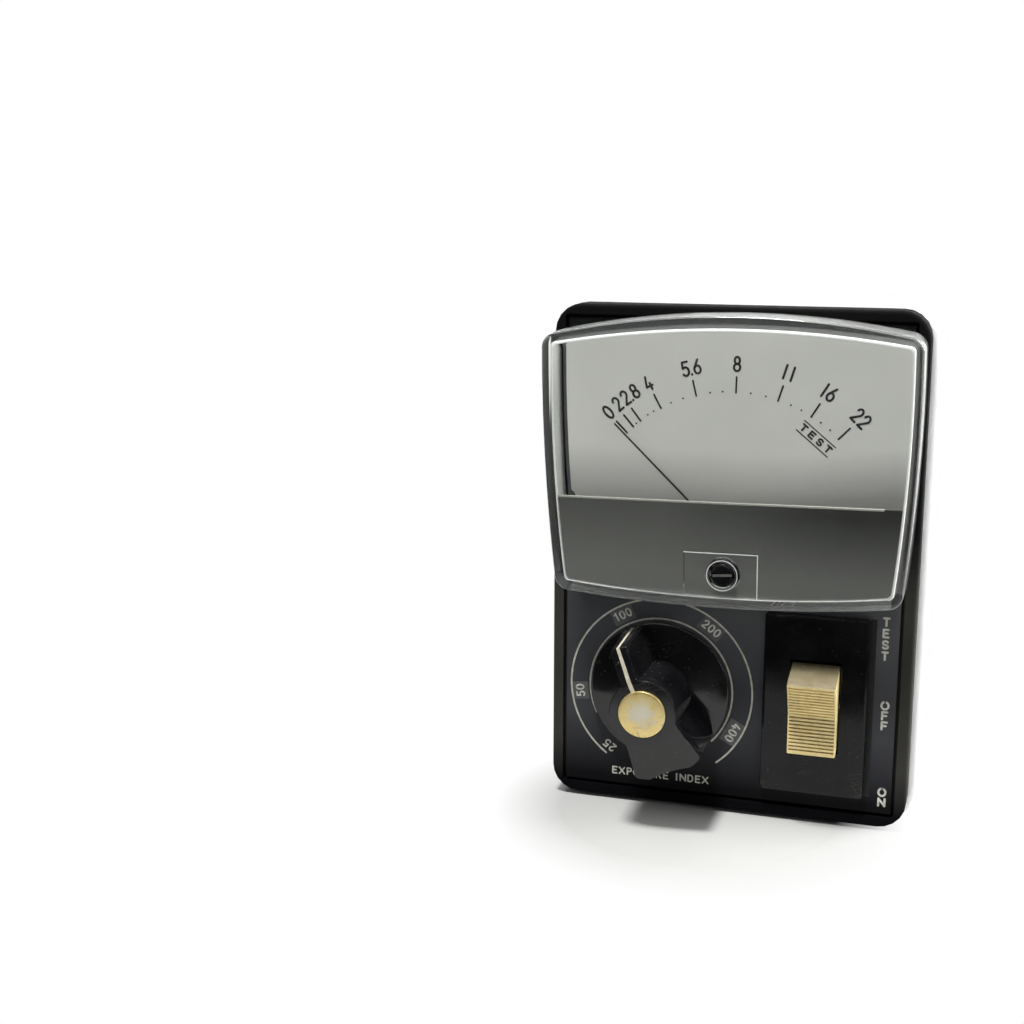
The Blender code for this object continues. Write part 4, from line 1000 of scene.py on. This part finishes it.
def print_index():
    """Rings, numbers and legend round the knob."""
    rings, numbers, patches, legend = [bmesh.new() for _ in range(4)]
    stroke(rings, arc_points(KNOB, RING_OUTER, *OUTER_ARC, 120), RING_LINE, PANEL_FRONT)
    stroke(rings, arc_points(KNOB, RING_INNER, *INNER_ARC, 96), RING_LINE, PANEL_FRONT)
    for word, angle in INDEX_NUMBERS:
        middle = around(KNOB, INDEX_RADIUS, angle)
        run = lettering(numbers, word, middle, angle, INDEX_TYPE, PANEL_FRONT - PRINT)
        if word in INDEX_PATCHED:
            half = run / 2 + PATCH_MARGIN
            box = rectangle(-half, half, -PATCH_HALF_HEIGHT, PATCH_HALF_HEIGHT)
            corners = [shifted(middle, angle, u, v) for u, v in box]
            merge(patches, prism(corners, PANEL_FRONT - PRINT / 2, PANEL_FRONT + PRINT))
    lettering(legend, LEGEND, LEGEND_MIDDLE, 0.0, LEGEND_TYPE, PANEL_FRONT)
    add_piece("index_rings", rings, "panel_print", PANEL_INK)
    add_piece("index_numbers", numbers, "panel_print", NUMBER_INK)
    add_piece("index_patches", patches, "panel_print", PATCH)
    add_piece("index_legend", legend, "panel_print", PANEL_INK)


def print_switch():
    """Words down the side of the switch, and a near-black strip beside its bezel, a painted shadow."""
    words = bmesh.new()
    height = SWITCH_TYPE.height
    for word, x, high, low in SWITCH_WORDS:
        pitch = (high - low - height) / (len(word) - 1)
        for index, letter in enumerate(word):
            lettering(words, letter, (x, high - height / 2 - index * pitch), 0.0, SWITCH_TYPE, PANEL_FRONT)
    add_piece("switch_legends", words, "panel_print", NUMBER_INK)
    # Painted shadow beside the bezel.
    add_piece("bezel_shadow_strip", printed(rectangle(*BEZEL_SHADOW_BOX), PANEL_FRONT), "panel_print", BEZEL_SHADOW_INK)


# Fine shapes

def window_solid():
    """Bowed box with rounded front edges, open behind, with a pocket and a collar for the zero screw."""
    outer = [(window_outline(0), WINDOW_BASE)]
    for inset, drop in rounding(WINDOW_ROUND, 6):
        outer.append((window_outline(WINDOW_TAPER + inset), WINDOW_FRONT + drop))
    inner = [(cavity_outline(-CAVITY_DRAFT), WINDOW_BASE)]
    for inset, drop in rounding(CAVITY_ROUND, 4):
        inner.append((cavity_outline(inset), WINDOW_FRONT + WINDOW_PLATE + drop))
    sides = rounded(rectangle(POCKET_LEFT, POCKET_RIGHT, POCKET_LOW, POCKET_HIGH), POCKET_FILLET, 3)
    pocket = prism(meter_turned(sides), WINDOW_FRONT - OVER, WINDOW_FRONT + POCKET_DEPTH)
    collar = turned([(radius, WINDOW_FRONT + depth) for radius, depth in COLLAR], COLLAR_SIDES, *ADJUSTER)
    hole = prism(circle(COLLAR_BORE, COLLAR_SIDES, *ADJUSTER), WINDOW_FRONT - OVER, MASK_BACK)
    solid = loft(inner[::-1] + outer)
    for tool, operation in ((pocket, "DIFFERENCE"), (collar, "UNION"), (hole, "DIFFERENCE")):
        solid = boolean(solid, tool, operation)
    return solid


def window_finish(face):
    """The finish of one face of the window: clear on its flats, hazy on its walls, pale on its edges, with
    a painted highlight on the cavity's front fillet, dimmer at the foot and lower left, and painted light
    on the left inner wall.
    """
    place, normal = face.calc_center_median(), face.normal
    behind_front = place.y - WINDOW_FRONT
    slanted = SLIGHTLY < abs(normal.y) < WHOLLY
    at_foot = place.z < POCKET_LOW + CAVITY_LOW
    in_pocket = (abs(place.x) < POCKET_MARGIN - POCKET_LEFT
                 and POCKET_LOW < place.z < POCKET_HIGH + POCKET_MARGIN)
    if in_pocket and behind_front < WINDOW_PLATE:
        return CLEAR
    # The cavity's front fillet: a painted highlight, dimmer at the foot and the lower left.
    if slanted and 0 < behind_front - WINDOW_PLATE < CAVITY_ROUND:
        dull = at_foot or (place.x < 0 and place.z < MASK_TOP)
        return DIM_PAINTED_HIGHLIGHT if dull else PAINTED_HIGHLIGHT
    if slanted and behind_front < WINDOW_ROUND and (normal.z > PARTLY or normal.x > PARTLY):
        return PALE_EDGE
    if normal.y > NEARLY and place.y > WINDOW_BASE - PRINT and not at_foot:
        return HAZY_BASE
    off_corner = abs(normal.x) < OFF_CORNER and abs(place.x) < WINDOW_LOW_HALF - WINDOW_CORNER
    if at_foot and behind_front > WINDOW_PLATE and off_corner:
        return HAZY_FOOT
    if abs(normal.y) > PARTLY:
        return CLEAR
    if normal.z > MOSTLY and place.z > WINDOW_TOP - CAVITY_TOP:
        return HAZY_TOP
    # Painted light on the left inner wall.
    if normal.x > MOSTLY and place.x < 0:
        return PAINTED_LIGHT_WALL
    return HAZY_WALL


def make_window():
    """Clear cover, with painted highlights along its pocket's edges and round its collar as pieces of their
    own.
    """
    solid = window_solid()
    for face in solid.faces:
        face.material_index = WINDOW_FINISHES.index(window_finish(face))
    add_piece("clear_window", solid, "clear_acrylic", *WINDOW_FINISHES,
              replaces=["meter_cover"], smooth=30)
    # Painted highlights: thin strips along the pocket's top and right edges.
    corner = WINDOW_FRONT + LAYER
    left, right = POCKET_LEFT + LAYER, POCKET_RIGHT - LAYER
    high = POCKET_HIGH - LAYER
    rim = prism(meter_turned(rectangle(left, right, high - POCKET_RIM, high)), corner, corner + POCKET_RIM)
    side = rectangle(right - POCKET_RIM, right, POCKET_LOW, high - POCKET_RIM - LAYER)
    merge(rim, prism(meter_turned(side), corner, corner + POCKET_RIM))
    add_piece("pocket_rim_highlight", rim, "clear_acrylic", PAINTED_HIGHLIGHT)
    # Painted highlight: a ring on the collar round the zero screw.
    section = [(COLLAR_BORE + width, WINDOW_FRONT + depth) for width, depth in COLLAR_RING]
    ring = turned_ring(section, COLLAR_SIDES, *ADJUSTER)
    add_piece("collar_ring_highlight", ring, "clear_acrylic", PAINTED_HIGHLIGHT)


def make_slot():
    """Dusty floor of the slot in the zero screw."""
    box = rectangle(-SLOT_HALF, SLOT_HALF, -SLOT_RISE, SLOT_RISE)
    strip = [shifted(ADJUSTER, -SLOT_TURN, u, v) for u, v in box]
    dust = prism(strip, SLOT_FRONT, SLOT_FRONT + SLOT_THICK)
    add_piece("slot_dust", dust, "gloss_black", SLOT_DUST, body="adjuster")


def make_mask():
    """Mask over the dial's foot. The edge along its top carries a pale band, a painted highlight."""
    keep = meter_turned(rectangle(-WINDOW_TOP_HALF, WINDOW_TOP_HALF, 0.0, MASK_TOP))
    hole = circle(MASK_HOLE, COLLAR_SIDES, *ADJUSTER)
    plate = prism(cavity_outline(MASK_GAP), MASK_FRONT, MASK_BACK)
    for outline, operation in ((keep, "INTERSECT"), (hole, "DIFFERENCE")):
        plate = boolean(plate, prism(outline, MASK_FRONT - OVER, MASK_BACK + OVER), operation)
    add_piece("mask_plate", plate, "mask_grey", replaces=["dial_mask"])
    # Painted highlight along the mask's top edge.
    strip = meter_turned(rectangle(*MASK_EDGE_ENDS, MASK_TOP - MASK_EDGE, MASK_TOP + PRINT))
    add_piece("mask_edge_highlight", prism(strip, MASK_FRONT - PRINT, MASK_BACK + PRINT), "mask_grey", MASK_HIGHLIGHT)


def make_dial_margin():
    """Right-hand margin of the dial, which reaches the wall of the window there."""
    right = rectangle(0.0, WINDOW_TOP_HALF, MASK_TOP - OVER, WINDOW_TOP + WINDOW_TOP_BOW)
    margin = prism(cavity_outline(MARGIN_GAP), DIAL_FRONT + LAYER, DIAL_FRONT + MARGIN_THICK)
    margin = boolean(margin, prism(meter_turned(right), DIAL_FRONT - OVER, DIAL_FRONT + OVER), "INTERSECT")
    add_piece("dial_margin", margin, "dial_silver")


def make_needle():
    """Slim needle at the zero mark, with its hub and tail. Too thin to leave a shadow on the dial."""
    root, tip = NEEDLE_HALF
    arm = [(-root, 0.0), (root, 0.0), (tip, NEEDLE_REACH), (-tip, NEEDLE_REACH)]
    tail = rectangle(-NEEDLE_TAIL_HALF, NEEDLE_TAIL_HALF, NEEDLE_TAIL, 0.0)
    needle = prism(circle(NEEDLE_HUB, 40), NEEDLE_FRONT, NEEDLE_BACK)
    for outline in (arm, tail):
        needle = boolean(needle, prism(outline, NEEDLE_FRONT, NEEDLE_BACK), "UNION")
    bore = prism(circle(NEEDLE_BORE, 24), NEEDLE_FRONT - OVER, NEEDLE_BACK + OVER)
    needle = boolean(needle, bore, "DIFFERENCE")
    blade = add_piece("needle_blade", needle, "needle_black", body="pointer", replaces=["pointer_needle"],
                      pose=((PIVOT[0], 0, PIVOT[1]), "Y", NEEDLE_REST))
    blade.visible_shadow = False


def mixed_size(sizes, level):
    return sizes[0] + (sizes[1] - sizes[0]) * level


def nose_side(nose_end, nose_half, hub):
    """Right side of the grip's outline, from the middle of its nose round its hub."""
    tip = Vector((nose_half, nose_end))
    root = Vector((nose_half, math.sqrt(hub ** 2 - nose_half ** 2)))
    side = [(0.0, nose_end)]
    side += quarter(tip - Vector((CORNER_ROUND, 0)), tip, tip - Vector((0, CORNER_ROUND)), 4)
    side += [tuple(tip.lerp(root, share)) for share in (0.3, 0.55, 0.8)]
    start = math.degrees(math.asin(nose_half / hub))
    return side + arc_points((0, 0), hub, start, HUB_END, 20)


def tail_side(start, waist, tail):
    """Right side of the grip's outline, from its hub down the tail to the notch in its end."""
    neck = Vector((waist, WAIST))
    corner = Vector((tail, -math.sqrt(GRIP_REACH ** 2 - tail ** 2)))
    down_tail = (corner - neck).normalized()
    side = quarter(Vector(start), neck, neck + down_tail * WAIST_ROUND, 6)[1:]
    side += [tuple(neck.lerp(corner, share)) for share in (0.45, 0.65, 0.85)]
    end_turn = math.degrees(math.acos(corner.y / GRIP_REACH)) + TAIL_TURN
    lobe_turn = 180 - math.degrees(math.asin(LOBE_HALF / GRIP_REACH))
    end = arc_points((0, 0), GRIP_REACH, end_turn, lobe_turn, 6)
    side += quarter(corner - down_tail * CORNER_ROUND, corner, Vector(end[0]), 4) + end[1:]
    lobe_x, lobe_z = end[-1]
    for step in range(1, NOTCH_STEPS + 1):
        share = step / NOTCH_STEPS
        side.append((lobe_x * (1 - share), lobe_z + (NOTCH - lobe_z) * math.sin(share * math.pi / 2)))
    return side


def grip_outline(level):
    """Outline of the knob's grip, nose up, from the skirt at level 0 to the top at level 1."""
    nose_end, nose_half, hub, waist, tail = [
        mixed_size(sizes, level) for sizes in (NOSE_END, NOSE_HALF, HUB_RADIUS, WAIST_HALF, TAIL_HALF)]
    right = nose_side(nose_end, nose_half, hub)
    right += tail_side(right[-1], waist, tail)
    return right + [(-x, z) for x, z in reversed(right[1:-1])]


def drawn_in(outline, inset):
    """An outline that runs clockwise seen from the front, offset inwards."""
    points = []
    for index, point in enumerate(outline):
        before = Vector(outline[index - 1])
        after = Vector(outline[(index + 1) % len(outline)])
        along = (after - before).normalized()
        points.append((point[0] + along.y * inset, point[1] - along.x * inset))
    return points


def dome(x, z):
    """Depth of the grip's top at a place: flat on the hub, falling towards nose and tail."""
    run = max(math.hypot(x, z) - DOME_START, 0.0) / (GRIP_REACH - DOME_START)
    return KNOB_TOP + GRIP_FALL * run


def make_grip():
    """Grip with drafted sides and rounded edges. Its top falls away from the seat of the cap."""
    foot = SKIRT_FRONT + SKIRT_FALL + GRIP_SINK
    top = grip_outline(1.0)
    rises = [dome(x, z) + GRIP_ROUND - foot for x, z in top]
    rows = []
    for step in range(GRIP_LEVELS + 1):
        level = step / GRIP_LEVELS
        rows.append([(x, foot + rise * level, z) for (x, z), rise in zip(grip_outline(level), rises)])
    for inset, drop in rounding(GRIP_ROUND, 4)[1:]:
        rows.append([(x, dome(x, z) + drop, z) for x, z in drawn_in(top, inset)])
    edge = [Vector(point) for point in drawn_in(top, GRIP_ROUND)]
    for step in range(1, DOME_ROWS + 1):
        spots = [spot.lerp(spot.normalized() * CAP_SEAT, step / DOME_ROWS) for spot in edge]
        rows.append([(x, dome(x, z), z) for x, z in spots])
    rows.append([(x, KNOB_TOP + SEAT_DEPTH, z) for x, _, z in rows[-1]])
    return skin(rows)


def pointer_line():
    """Paint-filled line along the top of the nose, over its edge and down its end."""
    nose = NOSE_END[1] - GRIP_ROUND
    path = []
    for step in range(LINE_STEPS + 1):
        z = LINE_START + (nose - LINE_START) * step / LINE_STEPS
        path.append((dome(0, z) - PRINT, z))
    end_top = dome(0, NOSE_END[1]) + GRIP_ROUND
    reach = GRIP_ROUND + PRINT
    for angle in (30, 60, 90):
        a = math.radians(angle)
        path.append((end_top - reach * math.cos(a), nose + reach * math.sin(a)))
    path.append((SKIRT_FRONT + SKIRT_FALL - PRINT, NOSE_END[0] + PRINT))
    rows = []
    for index, (y, z) in enumerate(path):
        half = mixed_size(LINE_HALF, index / (len(path) - 1))
        under, inward = y + LINE_DEPTH, z - LINE_DEPTH
        rows.append([(-half, y, z), (half, y, z), (half, under, inward), (-half, under, inward)])
    return skin(rows)


def make_knob():
    """Pointer knob: a skirt that falls a little to its rim, its grip, the paint line and the cap."""
    edge = SKIRT_FRONT + SKIRT_FALL
    rim = [(0, SKIRT_BACK), (SKIRT_RADIUS - SKIRT_CHAMFER, SKIRT_BACK),
           (SKIRT_RADIUS, SKIRT_BACK - SKIRT_CHAMFER)]
    rim += [(SKIRT_RADIUS - inset, edge + drop) for inset, drop in rounding(SKIRT_ROUND, 5)]
    rim += [(HUB_RADIUS[1], SKIRT_FRONT), (0, SKIRT_FRONT)]
    knob = boolean(turned(rim, 128), make_grip(), "UNION")
    for radius, sides, start, end in KNOB_BORES:
        knob = boolean(knob, prism(circle(radius, sides), start, end), "DIFFERENCE")
    cap = [(radius, CAP_FRONT + depth) for radius, depth in CAP_CROWN]
    for inset, drop in rounding(CAP_ROUND, 4)[::-1]:
        cap.append((CAP_RADIUS - inset, CAP_FRONT + CAP_EDGE + drop))
    cap += [(CAP_RADIUS, KNOB_TOP + CAP_SINK), (0, KNOB_TOP + CAP_SINK)]
    pose = ((KNOB[0], 0, KNOB[1]), "Y", KNOB_REST)
    add_piece("knob_grip", knob, "gloss_black", KNOB_BLACK, body="control", replaces=["exposure_knob"],
              smooth=28, pose=pose)
    add_piece("knob_pointer_line", pointer_line(), "ivory", CREAM, body="control", pose=pose)
    add_piece("knob_cap_disc", turned(cap, 96), "gold_cap", body="control", replaces=["knob_cap"],
              pose=pose)


def rocker_face():
    """One half of the rocker's V face, crest to waist: the plain line, and the one with grooves."""
    crest, waist = Vector(ROCKER_CREST), Vector(ROCKER_WAIST)
    along = (waist - crest).normalized()
    inward = Vector((-along.y, along.x))
    pitch = ((waist - crest).length - GROOVE_MARGIN) / GROOVES
    plain_line, grooved_line = [crest], [crest]
    for index in range(GROOVES):
        start = GROOVE_MARGIN + (index + (1 - GROOVE_SHARE) / 2) * pitch
        for offset, depth in GROOVE_SECTION:
            spot = crest + along * (start + offset * pitch * GROOVE_SHARE)
            plain_line.append(spot)
            grooved_line.append(spot + inward * (GROOVE_DEPTH * depth))
    return plain_line, grooved_line


def rocker_outline(face):
    """Closed side outline of the rocker from one half of its face."""
    upper = [ROCKER_WAIST] + [tuple(p) for p in face[::-1]] + list(ROCKER_END)
    return upper + [(y, -z) for y, z in reversed(upper[1:])]


def make_rocker():
    """Ivory rocker, pushed across X from its side outline. Its grooves stop short of both sides."""
    plain_line, grooved_line = rocker_face()
    smooth_side, cut_side = rocker_outline(plain_line), rocker_outline(grooved_line)
    shoulder = ROCKER_HALF_WIDTH - GROOVE_SIDE_MARGIN
    across = ((ROCKER_HALF_WIDTH, smooth_side, 1 - ROCKER_EDGE / ROCKER_CREST[1]),
              (ROCKER_HALF_WIDTH - ROCKER_EDGE, smooth_side, 1.0),
              (shoulder, smooth_side, 1.0), (shoulder - GROOVE_WALL, cut_side, 1.0))
    rows = []
    for sign, sections in ((-1, across), (1, across[::-1])):
        for x, outline, shrink in sections:
            rows.append([(sign * x, y * shrink, z * shrink) for y, z in outline])
    rocker = skin(rows)
    finish_rocker(rocker, len(across) - 1, len(plain_line), smooth_side, cut_side)
    add_piece("rocker_grip", rocker, "ivory", *ROCKER_FINISHES, body="rocker", replaces=["switch_rocker"],
              smooth=25, pose=((SWITCH[0], ROCKER_PIVOT_Y, SWITCH[1]), "X", ROCKER_REST))


def finish_rocker(rocker, floor_row, crest, smooth_side, cut_side):
    """Give the grooves in the middle row of faces their dirt, pale in the upper half as painted light, and
    the ends a dark finish of painted shade with grime.
    """
    count = len(smooth_side)
    rocker.faces.ensure_lookup_table()
    for number, face in enumerate(rocker.faces[2:]):
        row, i = divmod(number, count)
        j = (i + 1) % count
        sunk = cut_side[i] != smooth_side[i] or cut_side[j] != smooth_side[j]
        if row == floor_row and sunk:
            # Upper-half grooves take the pale groove dirt, painted light; lower-half grooves take the dark
            # dirt.
            face.material_index = ROCKER_FINISHES.index(DIRT if i > crest else LIT_GROOVE_DIRT)
        # The ends: painted shade with grime.
        elif crest <= i < count - crest:
            face.material_index = ROCKER_FINISHES.index(SHADED_GRIMY_IVORY)


# Floor, lights and camera

def make_stage():
    """Pale floor that ends a little in front of the object. Away from the object it is seen as white."""
    look = Look("floor", FLOOR_COLOUR, 0.6, specular_ior_level=0.1)
    look.set("Base Color", look.mottle(look.noise(60.0), FLOOR_COLOUR, FLOOR_LIGHT_COLOUR))
    paths = look.add("ShaderNodeLightPath").outputs
    seen = look.math("MAXIMUM", paths["Is Camera Ray"], paths["Is Transmission Ray"])
    fade = look.between(look.away(*WHITE_CENTRE, 0), WHITE_START * MM, WHITE_FULL * MM)
    white = look.add("ShaderNodeEmission", {"Color": WHITE, "Strength": 1.0})
    look.swap(look.math("MULTIPLY", seen, fade), white.outputs[0])
    mesh = bpy.data.meshes.new("floor")
    corners = [scene_point(x, y, 0) for x, y in FLOOR_CORNERS]
    mesh.from_pydata(corners, [], [list(range(len(corners)))])
    mesh.materials.append(look.material)
    add_object("floor", mesh)


def make_world():
    """White studio. Shiny and clear pieces see light above and behind, and a dark room in front."""
    world = bpy.data.worlds.new("studio")
    bpy.context.scene.world = world
    world.use_nodes = True
    sky = Nodes(world.node_tree)
    paths = sky.add("ShaderNodeLightPath").outputs
    place = sky.add("ShaderNodeTexCoord").outputs["Generated"]
    axes = sky.add("ShaderNodeSeparateXYZ", {0: place}).outputs
    glows = []
    for axis, (low, high, level) in (("Z", TOP_GLOW), ("Y", BACK_GLOW)):
        glows.append(sky.between(axes[axis], low, high, ROOM_LEVEL, level))
    shiny = sky.math("MAXIMUM", paths["Is Glossy Ray"], paths["Is Transmission Ray"])
    soft = sky.tree.nodes["Background"]
    sky.feed(soft.inputs["Color"], SOFT_COLOUR)
    sky.feed(soft.inputs["Strength"], SOFT_LEVEL)
    mirrored = sky.add("ShaderNodeBackground", {"Color": WHITE, "Strength": sky.math("MAXIMUM", *glows)})
    white = sky.add("ShaderNodeBackground", {"Color": WHITE, "Strength": 1.0})
    unseen = sky.mix(shiny, soft.outputs[0], mirrored.outputs[0])
    shown = sky.mix(paths["Is Camera Ray"], unseen, white.outputs[0])
    sky.feed(sky.tree.nodes["World Output"].inputs["Surface"], shown)


def make_lamp(name, place, side, power):
    lamp = bpy.data.lights.new(name, "AREA")
    lamp.shape = "RECTANGLE"
    lamp.size = lamp.size_y = side
    lamp.energy = power
    item = add_object(name, lamp)
    item.location = place
    item.rotation_euler = (Vector(LAMP_AIM) - Vector(place)).to_track_quat("-Z", "Y").to_euler()


def make_camera():
    camera = bpy.data.cameras.new("camera")
    camera.lens = CAMERA_LENS
    camera.clip_start = CAMERA_NEAR * MM
    item = add_object("camera", camera)
    item.location = scene_point(*CAMERA_PLACE)
    item.rotation_euler = (math.radians(90 - CAMERA_DOWN), 0, math.radians(CAMERA_YAW))
    bpy.context.scene.camera = item


make_camera()
finish_nodes()
print_dial()
print_index()
print_switch()
make_dial_margin()
make_needle()
make_mask()
make_window()
make_slot()
make_knob()
make_rocker()
make_stage()
make_world()
for lamp in LAMPS:
    make_lamp(*lamp)
bpy.context.scene.view_settings.view_transform = "Standard"
